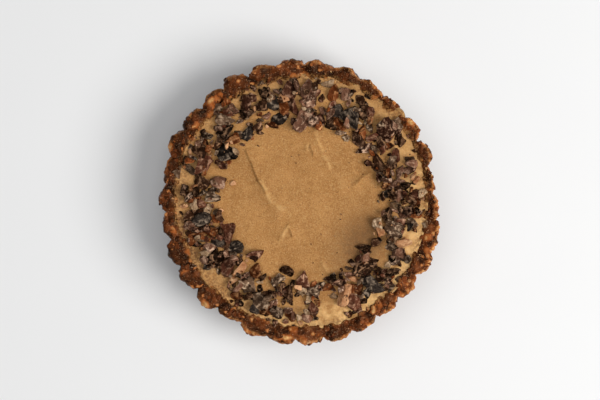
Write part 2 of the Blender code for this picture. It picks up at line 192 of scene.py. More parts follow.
# Cacao nibs: the solid's own sizes, in degrees and mm unless MM is named
Nib = namedtuple("Nib", "angle radius length width turn kind")
LARGE_NIBS = [Nib(*row) for row in (
    (3, 41.0, 4.7, 4.0, 90, "plum"), (4, 35.0, 5.0, 3.2, 80, "rose"), (17, 41.8, 6.4, 2.8, 10, "rose"),
    (17, 36.5, 4.8, 3.0, 60, "rose"), (22, 34.5, 4.4, 3.6, 60, "dark"), (28, 31.1, 8.2, 4.0, 75, "dark"),
    (36, 35.6, 5.0, 4.0, 60, "dark"), (39, 29.8, 7.0, 2.9, -15, "rose"), (40, 39.4, 8.4, 6.0, 70, "plum"),
    (47, 29.8, 6.0, 3.6, 70, "dark"), (48, 33.2, 3.8, 3.0, 0, "rust"), (54, 39.0, 4.6, 4.1, 0, "dark"),
    (58, 34.6, 8.2, 5.8, 60, "slate"), (59, 42.8, 4.8, 2.8, 50, "dark"), (63, 30.4, 5.4, 3.6, 45, "rust"),
    (67, 41.0, 4.2, 3.8, 0, "rose"), (68, 34.8, 4.6, 3.4, 0, "slate"), (73, 40.4, 5.8, 3.4, 0, "rust"),
    (76, 29.8, 4.0, 2.8, 20, "plum"), (84, 36.2, 6.6, 4.4, -30, "rose"), (86, 41.6, 6.6, 4.6, -20, "rose"),
    (87, 30.0, 11.0, 4.4, -28, "rose"), (95, 33.6, 6.4, 4.0, 20, "plum"), (96, 40.4, 6.2, 5.0, 0, "plum"),
    (100, 33.6, 4.6, 3.6, 10, "rust"), (99, 37.2, 3.6, 2.4, 30, "tan"), (104, 30.4, 5.0, 4.0, 90, "slate"),
    (105, 36.2, 4.8, 3.8, 0, "slate"), (107, 41.2, 6.2, 3.8, 30, "dark"), (112, 36.6, 4.6, 3.4, 60, "dark"),
    (119, 40.8, 5.4, 4.6, 0, "plum"), (120, 36.2, 5.6, 3.8, 70, "dark"), (119, 30.4, 3.8, 3.0, 90, "dark"),
    (126, 41.6, 4.4, 3.8, 60, "rose"), (127, 30.2, 5.4, 3.6, 90, "slate"), (132, 39.2, 6.0, 4.2, 30, "ash"),
    (136, 36.0, 6.2, 3.4, 80, "dark"), (137, 32.0, 5.8, 3.4, 80, "rust"), (147, 30.6, 7.0, 5.6, 20, "slate"),
    (152, 39.8, 5.4, 4.2, 10, "dark"), (159, 36.8, 8.0, 4.6, 80, "plum"), (166, 29.6, 4.8, 3.6, 0, "rose"),
    (168, 35.0, 5.0, 4.4, 0, "dark"), (176, 30.7, 5.0, 3.6, 0, "ash"), (177, 38.2, 4.6, 4.0, 0, "rust"),
    (187, 38.8, 4.4, 3.8, 0, "dark"), (190, 34.8, 6.2, 5.0, 30, "slate"), (198, 39.6, 6.8, 3.4, 20, "rust"),
    (199, 32.5, 4.4, 3.8, 0, "rust"), (202, 26.9, 7.4, 4.8, 85, "plum"), (206, 31.3, 5.0, 4.0, 0, "slate"),
    (214, 35.6, 6.8, 5.4, 30, "dark"), (214, 42.0, 3.8, 3.2, 0, "slate"), (215, 27.3, 5.4, 4.6, 0, "slate"),
    (222, 33.8, 6.4, 5.0, 0, "plum"), (228, 31.4, 5.4, 2.6, 0, "tan"), (229, 36.4, 4.0, 2.4, 0, "tan"),
    (230, 24.1, 6.8, 3.6, -30, "plum"), (238, 28.5, 4.8, 4.4, 0, "rust"), (239, 33.8, 5.8, 4.6, 0, "ash"),
    (248, 37.4, 6.4, 5.4, 30, "ash"), (254, 28.4, 4.8, 4.0, 0, "ash"), (258, 39.2, 5.6, 4.0, 80, "ash"),
    (259, 24.4, 4.6, 3.6, 90, "dark"), (263, 31.5, 5.4, 3.6, 0, "dark"), (272, 27.4, 6.6, 4.2, 0, "plum"),
    (277, 37.7, 5.2, 3.2, 0, "plum"), (278, 31.8, 6.0, 3.6, 90, "ash"), (288, 31.1, 4.2, 2.4, 90, "rust"),
    (297, 31.2, 5.6, 2.6, 90, "plum"), (296, 36.0, 7.6, 4.0, -48, "tan"), (298, 41.0, 6.0, 4.6, 20, "plum"),
    (304, 36.1, 4.6, 4.0, 0, "rust"), (312, 38.4, 7.4, 5.6, 40, "slate"), (316, 32.0, 9.6, 5.2, 80, "dark"),
    (325, 27.4, 4.8, 3.2, 60, "dark"), (333, 39.5, 5.2, 4.0, 0, "rose"), (339, 38.8, 5.8, 3.2, 21, "tan"),
    (344, 34.0, 6.6, 5.4, 0, "ash"), (345, 28.4, 4.4, 3.8, 80, "husk"), (352, 31.4, 5.0, 4.0, 60, "dark"),
    (355, 37.4, 6.0, 3.4, 30, "plum"),
)]
# Places in the ring where the cream shows: angle, radius, half the width across, half the depth outward
BARE_PATCHES = (
    (25, 40.5, 2.5, 3.0), (47, 43.0, 3.4, 3.4), (71, 45.0, 7.0, 1.8), (112, 41.0, 1.8, 2.7),
    (138, 42.0, 3.3, 2.4), (160, 32.0, 2.8, 2.7), (207, 40.7, 3.2, 2.7), (223, 41.0, 4.2, 2.8),
    (243, 40.0, 2.4, 2.2), (257, 35.0, 2.0, 2.0), (286, 39.5, 4.8, 5.4), (309, 43.4, 5.0, 1.6),
    (327, 32.5, 4.2, 3.2), (344, 42.8, 7.0, 1.3),
)
RING_INNER = 28.0
RING_OUTER = 43.2
SMALL_NIB_COUNT = 80
SMALL_NIB_SIZES = (2.4, 4.6)
KIND_SHARES = {"dark": 6, "plum": 6, "ash": 6, "rust": 4, "rose": 5, "slate": 2, "tan": 1, "husk": 1}
CROWDING = 0.6
NIB_SEED = 11
NIB_CLEARANCE = 1.1 * MM
NIB_SLIMNESS = (0.55, 0.85)
NIB_THICKNESS = (0.62, 0.85)
NIB_SUNK = 0.3
NIB_TILT = radians(16)

# Cacao nibs: what only shows here. A bed of chips is sunk between the nibs, more chips lie on and among
# them, and crumbs lie between those.
BED_COUNT = 200
BED_SIZES = (1.2, 3.0)
BED_SLIMNESS = (0.6, 0.95)
BED_THICKNESS = 0.5
BED_LIFT = (0, 0.5)
BED_SHARES = {"dark": 7, "plum": 4, "ash": 2, "rust": 2}
CHIP_COUNT = 230
CHIP_SIZES = (1.6, 4.6)
CHIP_SKEW = 1.2
CHIP_SLIMNESS = (0.5, 0.9)
CHIP_THICKNESS = (0.4, 0.7)
CHIP_COVER = 0.36
CHIP_LIFT = 0.4
CHIP_ROLL = 0.7
CHIP_TILT = 0.5
CHIP_SHARES = {"dark": 6, "plum": 5, "ash": 6, "rust": 3, "rose": 7, "slate": 1, "tan": 2, "husk": 3}
LOOSE_EVERY = 7
CHIPS_OUTER = 44.6
GAP_CELL = 0.5
GAP_REACH = 1.7
BED_REACH = 1.0
CRUMB_COUNT = 260
CRUMB_SIZES = (0.4, 1.4)
CRUMB_SKEW = 2.5
CRUMB_SPREAD = 3.0
CRUMB_SLIMNESS = (0.5, 1)
CRUMB_THICKNESS = 0.6
CRUMB_LIFT = 0.3
CRUMB_KINDS = ("dark", "dark", "plum", "rust", "ash", "rose", "tan")
FINE_CRUMB = 0.35 * MM
# Specks in the middle of the cream: place and size in mm
SPECKS = ((-0.4, 16.7, 0.5), (-1.4, 13.9, 0.5), (-6.3, 5.1, 0.4), (9.1, 18.1, 0.4), (22.1, 10.0, 0.5),
          (24.9, 9.7, 0.5), (14.4, -4.0, 0.6), (7.4, -11.0, 0.5), (3.9, -14.5, 0.5), (13.0, -17.6, 0.5),
          (4.6, -21.1, 0.5), (14.2, -5.8, 0.6), (17.2, 14.0, 0.4), (-3.0, 16.2, 0.4), (12.1, -11.7, 0.4))
GOLDEN_CRUMB = (-23.5, 6.9, 2.3)
SPECK_SHARES = (0.8, 0.7)
SPECK_LIFT = 0.15
HIGHEST_CHIP = 25.8 * MM
# A bit rests on those that lie within its own reach times this, a little lower than their tops
REST_REACH = 0.4
REST_HEIGHT = 0.9
NIB_FULLNESS = 1.16
NIB_BREAK_SEED = 5000
# Bits longer than these, in mm, have finer meshes
SHORT_BIT = 2.6
LONG_BIT = 6.5
# The pale nibs lie on top, clear of chips
PALE_KINDS = ("tan", "husk")
PALE_LIFT = 0.8 * MM
LARGE_NIB_TONES = (0.25, 0.8)
NIB_LEAN = radians(20)
# A broken bit in its unit box: its flat breaks, the hollows in it, its layers, and its wrinkles
FACET_DEPTHS = (0.3, 0.78)
TOP_LEAN = 0.4
GRAZING = 0.02
UNREACHED = 9
EDGE_WIDTH = 0.10
UNBROKEN_SHADE = 0.3
HOLLOW_SHADE = 0.1
HOLLOW_UP = (0.35, 1)
HOLLOW_OUT = (0.95, 1.2)
HOLLOW_SIZES = (0.5, 0.8)
LAYERS = 1.7
FIBRES = 2.6
LAYER_FOLD = 0.8
FLAKE_MIDDLE = 0.4
FLAKE_EDGE = (0.8, 0.95)
FLAKE_PALENESS = 14
BEND_PITCH = 1.3
BEND = 0.5
FOLD_PITCH = 2.1
FOLD_SHARE = 0.6
FOLD_MIDDLE = 0.3
CREASE_PITCH = 4.7
# How much of a bit's tone is its own, the rest being its face's, and how strongly its pale edges, partly
# painted highlights, show
TONE_SHARE = 0.65
EDGE_STRENGTHS = (0.25, 1)
# How a kind is broken: flat breaks, hollows, wrinkles, raised edges of layers, how far it curls, and how
# finely its mesh is divided
Look = namedtuple("Look", "facets hollows wrinkles flakes curl level", defaults=(3,))
LOOKS = {
    "dark": Look(10, 1, 0.08, 0.04, 0.2), "slate": Look(10, 1, 0.08, 0.03, 0.2),
    "plum": Look(10, 1, 0.10, 0.06, 0.3), "rust": Look(10, 1, 0.10, 0.05, 0.2),
    "rose": Look(10, 1, 0.12, 0.06, 0.3), "ash": Look(11, 2, 0.15, 0.08, 0.4),
    "tan": Look(9, 1, 0.07, 0.03, 0.2), "husk": Look(8, 0, 0.12, 0.08, 0.8),
}
CRUST_LOOK = Look(5, 0, 0.16, 0.0, 0.1)

# Nut bits on the crust. The first ones stand out: angle and radius at the rim, length and width, in mm
Bit = namedtuple("Bit", "angle radius length width")
RIM_NUTS = (
    Bit(131, 47.4, 3.9, 2.0), Bit(36, 48.2, 3.2, 2.6), Bit(88, 49.2, 3.0, 1.6), Bit(157, 49.6, 2.6, 2.2),
    Bit(163, 49.0, 3.0, 2.0), Bit(171, 48.0, 2.4, 1.6), Bit(264, 47.6, 4.6, 2.0), Bit(247, 48.8, 2.8, 1.8),
    Bit(253, 49.4, 3.0, 1.8), Bit(227, 48.2, 3.2, 1.4), Bit(299, 49.6, 3.2, 2.2), Bit(304, 46.0, 2.4, 1.6),
    Bit(335, 50.2, 3.4, 2.6), Bit(341, 49.6, 2.6, 2.0), Bit(142, 49.0, 2.6, 1.6), Bit(4, 47.6, 2.6, 1.8),
    Bit(270, 49.8, 2.8, 1.8), Bit(15, 47.4, 2.2, 1.6),
)
# How plainly such a nut shows in its middle, how fast that fades outward, and how uneven its edge is
RIM_NUT_MIDDLE = 1.15
RIM_NUT_FADE = 0.75
RIM_NUT_ROUGH = 0.35
RIM_NUT_ROUGH_SIZE = 0.9 * MM
RIM_NUT_DEPTH = 6 * MM
RIM_NUT_SPAN = 12
CRUST_SEED = 77
CRUST_BIT_COUNT = 760
CRUST_BIT_SIZES = (0.7, 2.8)
CRUST_BIT_SKEW = 2
CRUST_BIT_SLIMNESS = (0.6, 0.95)
CRUST_BIT_THICKNESS = 0.8
CRUST_BIT_SUNK = (0.1, 0.7)
LARGE_CRUST_BIT = 1.4
BITS_FROM = 1.2 * MM
BITS_SLOPE = 0.2
NUT_BIT_SHARE = 0.08
NUT_BIT_SCALE = 0.7
BRINK_NUTS = 0.12

# Camera and light. The photograph is 600 pixels wide, at 0.35 mm to a pixel in the rim's plane.
PHOTO_WIDTH = 600
PIXEL = 0.35 * MM
AXIS_ABOVE_MIDDLE = 2.7 * PIXEL
LENS = 100
SENSOR = 36
Lamp = namedtuple("Lamp", "name direction elevation distance size power colour")
LAMPS = (Lamp("key", radians(-18), radians(47), 1.1, 0.78, 11.4, (1, 0.99, 0.975)),
         Lamp("fill", radians(150), radians(76), 1.3, 1.6, 7.4, (0.97, 0.985, 1)))
WORLD_COLOUR = (0.97, 0.985, 1, 1)
WORLD_STRENGTH = 0.15
FLOOR_HALF_SIZE = 1.5


# Forms that the solids share

def polar(radius, angle, height):
    return Vector((radius * cos(angle), radius * sin(angle), height))


def angles_round(count):
    return [tau * k / count for k in range(count)]


def random_turn(draw, axis, low, high):
    return Matrix.Rotation(draw.uniform(low, high), 4, axis)


def smooth(value, low, high):
    """0 below low, 1 above high and an even curve between."""
    share = np.clip((value - low) / (high - low), 0, 1)
    return share * share * (3 - 2 * share)


def lobe_at(angle):
    """How near an angle is to a flute's ridge: 1 there and 0 in a groove."""
    place = (angle - FIRST_RIDGE) / tau * FLUTES
    aside = abs(place - round(place))
    return cos(pi * aside) ** LOBE_ROUNDNESS if aside < 0.5 else 0


def rim_outline(angle):
    """The fluted outline's radius at the rim: round lobes with narrow grooves between them."""
    place = (angle - FIRST_RIDGE) / tau * FLUTES
    nearest = round(place)
    ridge = RIDGES[nearest % FLUTES] * MM
    groove = GROOVES[(nearest if place >= nearest else nearest - 1) % FLUTES] * MM
    return RIM_RADIUS + groove + (ridge - groove) * lobe_at(angle)


def rim_height(angle):
    """The rim's top, which stands a little higher on one side."""
    return RIM_HEIGHT + RIM_TILT * cos(angle - HIGH_SIDE)


def outer_radius(angle, height):
    """The outer wall leans out from the foot to the rim, and its flutes deepen on the way."""
    share = min(1, height / RIM_HEIGHT)
    mean = FOOT_RADIUS + (RIM_RADIUS - FOOT_RADIUS) * share
    flute = FLUTE_SHARE_AT_FOOT + (1 - FLUTE_SHARE_AT_FOOT) * share
    return mean + (rim_outline(angle) - RIM_RADIUS) * flute


def inner_radius(angle, height):
    """The hollow's wall, straight from the fillet at its floor to the rim."""
    turn = angle - THIN_SIDE
    at_rim = HOLLOW_RADIUS + HOLLOW_OFFSET * cos(turn) + HOLLOW_LOBES * cos(3 * turn)
    foot = FLOOR_HEIGHT + HOLLOW_FILLET
    share = (height - foot) / (RIM_HEIGHT - foot)
    return HOLLOW_FLOOR_RADIUS + (at_rim - HOLLOW_FLOOR_RADIUS) * share


def crag(point):
    """How far the crumbly rim stands out at a point, as its solid does."""
    coarse = noise.noise(point / CRAG_SIZE)
    fine = noise.noise(point / FINE_CRAG_SIZE + FINE_CRAG_OFFSET)
    return CRAG_DEPTH * (CRAG_SHARE * coarse + FINE_CRAG_SHARE * fine)


def cream_height(x, y):
    """The cream's top as its solid has it: slightly crowned, with the spatula's slow swells."""
    share = min(1, hypot(x, y) / HOLLOW_RADIUS)
    swell = noise.noise(Vector((x, y, 0)) / SWELL_LENGTH + SWELL_OFFSET)
    return CREAM_EDGE_HEIGHT + CREAM_CROWN * (1 - share ** 2) + CREAM_SWELL * swell


def is_bare(x, y):
    """Whether a point, in mm, lies in one of the patches where the cream shows."""
    for angle, radius, half_across, half_out in BARE_PATCHES:
        turned = Matrix.Rotation(-radians(angle), 2) @ Vector((x, y))
        if hypot((turned.x - radius) / half_out, turned.y / half_across) < 1:
            return True
    return False


def small_nibs():
    """Smaller nibs scattered between the large ones, largest first, clear of the bare patches."""
    draw = random.Random(NIB_SEED)
    kinds, weights = zip(*KIND_SHARES.items())
    taken = [(polar(n.radius, radians(n.angle), 0), (n.length + n.width) / 4) for n in LARGE_NIBS]
    smallest, largest = SMALL_NIB_SIZES
    found = []
    while len(found) < SMALL_NIB_COUNT:
        length = largest - (largest - smallest) * len(found) / SMALL_NIB_COUNT
        width = length * draw.uniform(*NIB_SLIMNESS)
        angle, radius = draw.uniform(0, 360), draw.uniform(RING_INNER, RING_OUTER)
        turn, kind = draw.uniform(-90, 90), draw.choices(kinds, weights)[0]
        here, reach = polar(radius, radians(angle), 0), (length + width) / 4
        crowded = any((here - there).length < CROWDING * (reach + other) for there, other in taken)
        if crowded or is_bare(here.x, here.y):
            continue
        taken.append((here, reach))
        found.append(Nib(angle, radius, length, width, turn, kind))
    return found


def nib_placing(nib, index):
    """Where a nib lies: its half sizes and its matrix, moved in where it would meet the crust."""
    draw = random.Random(NIB_SEED * 1000 + index)
    half = Vector((nib.length, nib.width, nib.width * draw.uniform(*NIB_THICKNESS))) * (MM / 2)
    angle, turn = radians(nib.angle), radians(nib.turn)
    outward = hypot(half.x * cos(turn), half.y * sin(turn))
    limit = inner_radius(angle, CREAM_EDGE_HEIGHT) - NIB_CLEARANCE - outward
    place = polar(min(nib.radius * MM, limit), angle, 0)
    place.z = cream_height(place.x, place.y) + half.z * (1 - 2 * NIB_SUNK)
    laid = Matrix.Translation(place) @ Matrix.Rotation(angle + turn, 4, "Z")
    tilt = random_turn(draw, "Y", -NIB_TILT, NIB_TILT)
    return half, laid @ tilt @ random_turn(draw, "X", -NIB_TILT, NIB_TILT)


# Meshes

def grid_normals(grid):
    """Outward normals of rings of points that run anticlockwise, from the foot up."""
    along = np.gradient(grid, axis=0)
    around = np.roll(grid, -1, axis=1) - np.roll(grid, 1, axis=1)
    normals = np.cross(around, along)
    return normals / np.maximum(np.linalg.norm(normals, axis=2, keepdims=True), 1e-12)


def seen_from_axis(grid):
    """Each point's radius and angle, and how far it stands out from the hollow's wall."""
    radius, angle = np.hypot(grid[..., 0], grid[..., 1]), np.arctan2(grid[..., 1], grid[..., 0])
    return radius, angle, radius - np.vectorize(inner_radius)(angle, CREAM_EDGE_HEIGHT)


def ring_faces(rings, columns):
    """Quads between rings, and a fan at each end to the last two vertices."""
    row, column = np.meshgrid(np.arange(rings - 1), np.arange(columns), indexing="ij")
    following = (column + 1) % columns
    quads = np.stack([row * columns + column, row * columns + following,
                      (row + 1) * columns + following, (row + 1) * columns + column], axis=-1)
    faces = quads.reshape(-1, 4).tolist()
    first, last = rings * columns, rings * columns + 1
    top = (rings - 1) * columns
    for k in range(columns):
        after = (k + 1) % columns
        faces.append([first, after, k])
        faces.append([last, top + k, top + after])
    return faces


def add_object(name, data):
    obj = bpy.data.objects.new(name, data)
    bpy.context.scene.collection.objects.link(obj)
    return obj


def make_piece(name, points, faces, finish, attributes=()):
    """A smooth-shaded mesh object with its material and body."""
    mesh = bpy.data.meshes.new(name)
    mesh.from_pydata([tuple(p) for p in points], [], faces)
    mesh.shade_smooth()
    for label, values in dict(attributes).items():
        layer = mesh.attributes.new(label, "FLOAT", "POINT")
        layer.data.foreach_set("value", np.asarray(values, np.float32))
    mesh.materials.append(finish)
    obj = add_object(name, mesh)
    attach(obj, "root")
    return obj


def make_shell(name, grid, finish, attributes):
    """A closed piece over rings of points. Each attribute has one value a point."""
    rings, columns, _ = grid.shape
    ends = [grid[0].mean(axis=0), grid[-1].mean(axis=0)]
    points = np.vstack([grid.reshape(-1, 3), ends])
    padded = {label: np.append(values.reshape(-1), [values[0].mean(), values[-1].mean()])
              for label, values in attributes.items()}
    return make_piece(name, points, ring_faces(rings, columns), finish, padded)


# Crust

def crust_controls(angles):
    """The crust's section at each angle as the solid has it, but smooth, from foot to hollow floor."""
    controls = [[polar((outer_radius(a, 0) - FOOT_CHAMFER) * share, a, 0) for a in angles]
                for share in (*UNDERSIDE_RINGS, 1)]
    for height in (FOOT_CHAMFER, *(level * RIM_HEIGHT for level in WALL_LEVELS)):
        controls.append([polar(outer_radius(a, height), a, height) for a in angles])
    tops = [rim_height(a) for a in angles]
    for across, below in RIM_CROSSING:
        ring = []
        for a, top in zip(angles, tops):
            inner, outer = inner_radius(a, top), outer_radius(a, top)
            ring.append(polar(inner + (outer - inner) * across, a, top - below))
        controls.append(ring)
    lip = [(a, top - INNER_LIP) for a, top in zip(angles, tops)]
    controls.append([polar(inner_radius(a, height), a, height) for a, height in lip])
    controls.append([polar(HOLLOW_FLOOR_RADIUS, a, FLOOR_HEIGHT + HOLLOW_FILLET) for a in angles])
    controls.append([polar(HOLLOW_FLOOR_RADIUS - HOLLOW_FILLET, a, FLOOR_HEIGHT) for a in angles])
    return np.array(controls)


def crust_grid():
    """The crust's smooth surface as rings of points, fine enough for its crumb."""
    controls = crust_controls(angles_round(CRUST_COLUMNS))
    steps = [1] * len(UNDERSIDE_RINGS) + list(SECTION_STEPS)
    rings = [controls[0]]
    for lower, upper, count in zip(controls, controls[1:], steps):
        rings += [lower + (upper - lower) * (step + 1) / count for step in range(count)]
    grid = np.array(rings)
    foot = len(UNDERSIDE_RINGS)
    for _ in range(SECTION_SMOOTHING):
        grid[foot + 1:-1] = (grid[foot:-2] + 2 * grid[foot + 1:-1] + grid[foot + 2:]) / 4
    return grid


def chunk(point, size):
    """Height from 0 to 1 of the pressed bit at a point, and the bit's own number from 0 to 1."""
    distances, centres = noise.voronoi(point / size)
    height = 1 - (distances[0] / max(distances[1], 1e-6)) ** 2
    return height, noise.cell(centres[0] * 17.3) % 1


def crust_relief(point):
    """Relief of chunks, crumbs and grit at a point, how far it shows a nut rather than paste, and the
    chunk's own number from 0 to 1."""
    grit = noise.noise(point / GRIT_SIZE)
    relief, nuts, numbers = 0, [], []
    for bits in PRESSED:
        height, number = chunk(point + bits.offset, bits.size)
        relief += bits.relief * (height * (bits.least + (1 - bits.least) * number) - bits.sunk)
        face = smooth(height + NUT_GRIT * grit, NUT_EDGE, bits.whole)
        nuts.append(bits.shown * (number > 1 - NUT_SHARE) * face)
        numbers.append(number)
    return relief + GRIT_RELIEF * grit, max(nuts), numbers[0]


def nut_at(point, angle, radius):
    """How far one of the nuts that stand out shows at a point of the rim, from 0 to 1."""
    found = 0
    for bit in RIM_NUTS:
        off = (degrees(angle) - bit.angle + 180) % 360 - 180
        if abs(off) < RIM_NUT_SPAN:
            across = radians(off) * radius / MM
            away = hypot(across / bit.length, (radius / MM - bit.radius) / bit.width) * 2
            rough = RIM_NUT_ROUGH * noise.noise(point / RIM_NUT_ROUGH_SIZE)
            found = max(found, RIM_NUT_MIDDLE - RIM_NUT_FADE * away + rough)
    return found


def toasted_and_lit_at(angle, radius, height):
    """How golden the crust is: only at its outer edge, most toward the lit side as painted light, and not on
    the shaded side, as painted shade.
    """
    off = (angle - SHADED_SIDE + pi) % tau - pi
    swing = LIT_SIDE_SWING * cos(angle - LIT_SIDE)
    toasted_and_lit = max(0, 1 - LIT_SIDE_SWING + swing - exp(-(off / SHADED_SPREAD) ** 2))
    toasted_and_lit *= smooth(height, RIM_HEIGHT - TOASTED_BELOW[0], RIM_HEIGHT - TOASTED_BELOW[1])
    return toasted_and_lit * smooth(radius - rim_outline(angle), *TOASTED_BAND)


def make_crust(finish):
    """The fluted shell with its crumb, in place of the crust's solid. It gives the crust's points, and how
    golden each one is painted, as toasted nuts and as light toward the lit side."""
    grid = crust_grid()
    normals = grid_normals(grid)
    relief, nut, film, golden_lit_edge, lump = (np.zeros(grid.shape[:2]) for _ in range(5))
    for index, _ in np.ndenumerate(relief):
        point = Vector(grid[index])
        angle, radius = atan2(point.y, point.x), hypot(point.x, point.y)
        inside = inner_radius(angle, CREAM_EDGE_HEIGHT)
        hidden = radius < inside - CRUMB_INSIDE and point.z > FOOT_CHAMFER
        if point.z < FOOT_LEVEL or hidden:
            continue
        height, shown, lump[index] = crust_relief(point)
        if point.z > RIM_HEIGHT - RIM_NUT_DEPTH:
            shown = max(shown, nut_at(point, angle, radius))
        nut[index] = min(1, shown)
        uneven = 1 + LOBE_UNEVEN * noise.noise(point / LOBE_WANDER)
        gain = LOBE_GAIN * uneven * (1 - abs(normals[index][2]) * (1 - LOBE_LIFT))
        height += (crag(point) + gain * (lobe_at(angle) - LOBE_MIDDLE)) * point.z / RIM_HEIGHT
        relief[index] = height * smooth(point.z, 0, 2 * FOOT_CHAMFER)
        # Golden outer edge: toasted nuts, with painted light toward the lit side and painted shade on the
        # shaded side
        golden_lit_edge[index] = toasted_and_lit_at(angle, radius, point.z)
        if point.z > CREAM_EDGE_HEIGHT - MM:
            wander = sum(share * noise.noise(point / size) for size, share in FILM_WANDER)
            film[index] = 1 - smooth(radius - inside + wander * MM, 0, FILM_REACH)
    grid += normals * relief[..., None]
    grid[..., 2] = np.maximum(grid[..., 2], 0)
    attributes = {"nut": nut, "film": film, "golden_lit_edge": golden_lit_edge, "lump": lump}
    crust = make_shell("crust_crumb", grid, finish, attributes)
    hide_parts("crust")
    return grid, golden_lit_edge


# Cream

def mark_at(x, y, mark):
    """A spatula mark's height: steep on its left, easing down over its length on the right. It also gives the
    painted shade on its low side, and the painted highlight of a pale lip on its steep side."""
    run_x, run_y = mark.x1 - mark.x0, mark.y1 - mark.y0
    length = hypot(run_x, run_y)
    off_x, off_y = x / MM - mark.x0, y / MM - mark.y0
    along = (off_x * run_x + off_y * run_y) / length ** 2
    right = (off_x * run_y - off_y * run_x) / length
    ends = smooth(along, -MARK_FADE, MARK_FADE) * (1 - smooth(along, 1 - MARK_FADE, 1 + MARK_FADE))
    steep, gentle = np.exp(-(right / mark.edge) ** 2), np.exp(-np.maximum(right, 0) / mark.length)
    low_side = -right if mark.tint > 0 else right
    tint = abs(mark.tint) * ends * (low_side > 0) * np.exp(-np.maximum(low_side, 0) / MARK_SHADE_REACH)
    # The lip is a painted highlight on the steep side
    lip = ends * np.exp(-(right / mark.edge + LIP_HIGHLIGHT_SHIFT) ** 2) * min(1, LIP_HIGHLIGHT_GAIN * mark.height)
    return mark.height * MM * ends * np.where(right < 0, steep, gentle), tint, lip * (mark.tint <= 0)


def overlap_at(angle):
    """How much further out, and higher, the cream's edge lies at an angle, in metres."""
    reach = rise = 0
    for overlap in OVERLAPS:
        away = (degrees(angle) - overlap.angle + 180) % 360 - 180
        share = exp(-(away / overlap.half_width) ** 2 * 2)
        reach += overlap.reach * MM * share
        rise += overlap.rise * MM * share
    return reach, rise


def cream_grid():
    """The cream as rings: up from the hollow's floor, out over the crust's lip and in to the middle. It also
    gives the painted shade and the painted highlight that the spatula's marks put at each point."""
    angles = angles_round(CREAM_COLUMNS)
    under = CREAM_EDGE_HEIGHT - MM
    side = [
        [polar(HOLLOW_FLOOR_RADIUS - HOLLOW_FILLET - GAP, a, FLOOR_HEIGHT + GAP) for a in angles],
        [polar(HOLLOW_FLOOR_RADIUS - GAP, a, FLOOR_HEIGHT + HOLLOW_FILLET + GAP) for a in angles],
        [polar(inner_radius(a, under) - GAP, a, under) for a in angles],
    ]
    edges = [overlap_at(a) for a in angles]
    outline = [inner_radius(a, CREAM_EDGE_HEIGHT) + CREAM_LAP + e[0] for a, e in zip(angles, edges)]
    top = []
    for ring in range(CREAM_RINGS):
        share = 1 - ring / CREAM_RINGS
        row = []
        for a, edge, (_, rise) in zip(angles, outline, edges):
            point = polar(edge * share, a, 0)
            uneven = CLIMB_MEAN + CLIMB_UNEVEN * noise.noise(point / CLIMB_WANDER + CLIMB_OFFSET)
            climb = (CLIMB * uneven + rise) * exp(-edge * (1 - share) / (CLIMB_LENGTH + RISE_LENGTH * rise))
            ripple = RIPPLE * noise.noise(point / RIPPLE_LENGTH + RIPPLE_OFFSET)
            grain = GRAIN * noise.noise(point / GRAIN_LENGTH + GRAIN_OFFSET)
            point.z = cream_height(point.x, point.y) + climb + ripple + grain
            row.append(point)
        top.append(row)
    top = np.array(top)
    x, y = top[..., 0].copy(), top[..., 1].copy()
    for index, _ in np.ndenumerate(x):
        wander = noise.noise_vector(Vector((x[index], y[index], 0)) / MARK_WANDER_LENGTH) * MARK_WANDER
        x[index] += wander.x
        y[index] += wander.y
    # Painted shade on the marks' low sides, and painted highlight on their lips
    tint, lip = np.zeros((2, len(side) + len(top), CREAM_COLUMNS))
    for mark in MARKS:
        height, dark, pale = mark_at(x, y, mark)
        top[..., 2] += height
        tint[len(side):] = np.maximum(tint[len(side):], dark)
        lip[len(side):] = np.maximum(lip[len(side):], pale)
    return np.concatenate([np.array(side), top]), tint, lip


def make_cream(finish):
    """The spread cream, in place of the filling's solid."""
    grid, tint, lip = cream_grid()
    radius, angle, beyond = seen_from_axis(grid)
    # Lit side: the outer cream is painted more golden there, and its edge less dark, as painted light
    golden_and_lit = np.clip(np.cos(angle - LIT_CREAM_SIDE), 0, 1)
    edge = smooth(beyond, *STAINED_BAND) * (1 - LIT_SIDE_CLEANER * golden_and_lit)
    # Darker further in on one side of the cream's edge
    edge = np.maximum(edge, smooth(beyond, *CREAM_DARK_BAND) * np.clip(np.cos(angle - CREAM_DARK_SIDE), 0, 1))
    outer = smooth(radius, *GOLDEN_BAND) * (GOLDEN_LEAST + (1 - GOLDEN_LEAST) * golden_and_lit)
    # Dust of the nibs and their painted shadow, darkening the cream beside them on one side
    darkened_angle, darkened_radius, half_across, half_out = DUST_AND_SHADOW
    out, across = (radius / MM * f(angle - radians(darkened_angle)) for f in (np.cos, np.sin))
    dust_and_shadow = np.exp(-((out - darkened_radius) / half_out) ** 2 - (across / half_across) ** 2)
    attributes = {"edge": edge, "outer": outer, "tint": tint, "lip": lip, "dust_and_shadow": dust_and_shadow}
    cream = make_shell("peanut_cream", grid, finish, attributes)
    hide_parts("filling")


# Nibs, chips, crumbs and nut bits

def unit_sphere(subdivisions):
    """Points and triangles of an icosphere of radius 1."""
    bm = bmesh.new()
    bmesh.ops.create_icosphere(bm, subdivisions=subdivisions, radius=1)
    points = np.array([v.co for v in bm.verts])
    faces = np.array([[v.index for v in f.verts] for f in bm.faces])
    bm.free()
    return points, faces


def unit_vector(turn, height):
    across = sqrt(1 - height * height)
    return across * cos(turn), across * sin(turn), height


SPHERES = {level: unit_sphere(level) for level in (2, 3, 4, 5)}


def directions(draw, count):
    """Random unit vectors, spread evenly by chance."""
    found = []
    for _ in range(count):
        height = draw.uniform(-1, 1)
        found.append(unit_vector(draw.uniform(0, tau), height))
    return np.array(found)


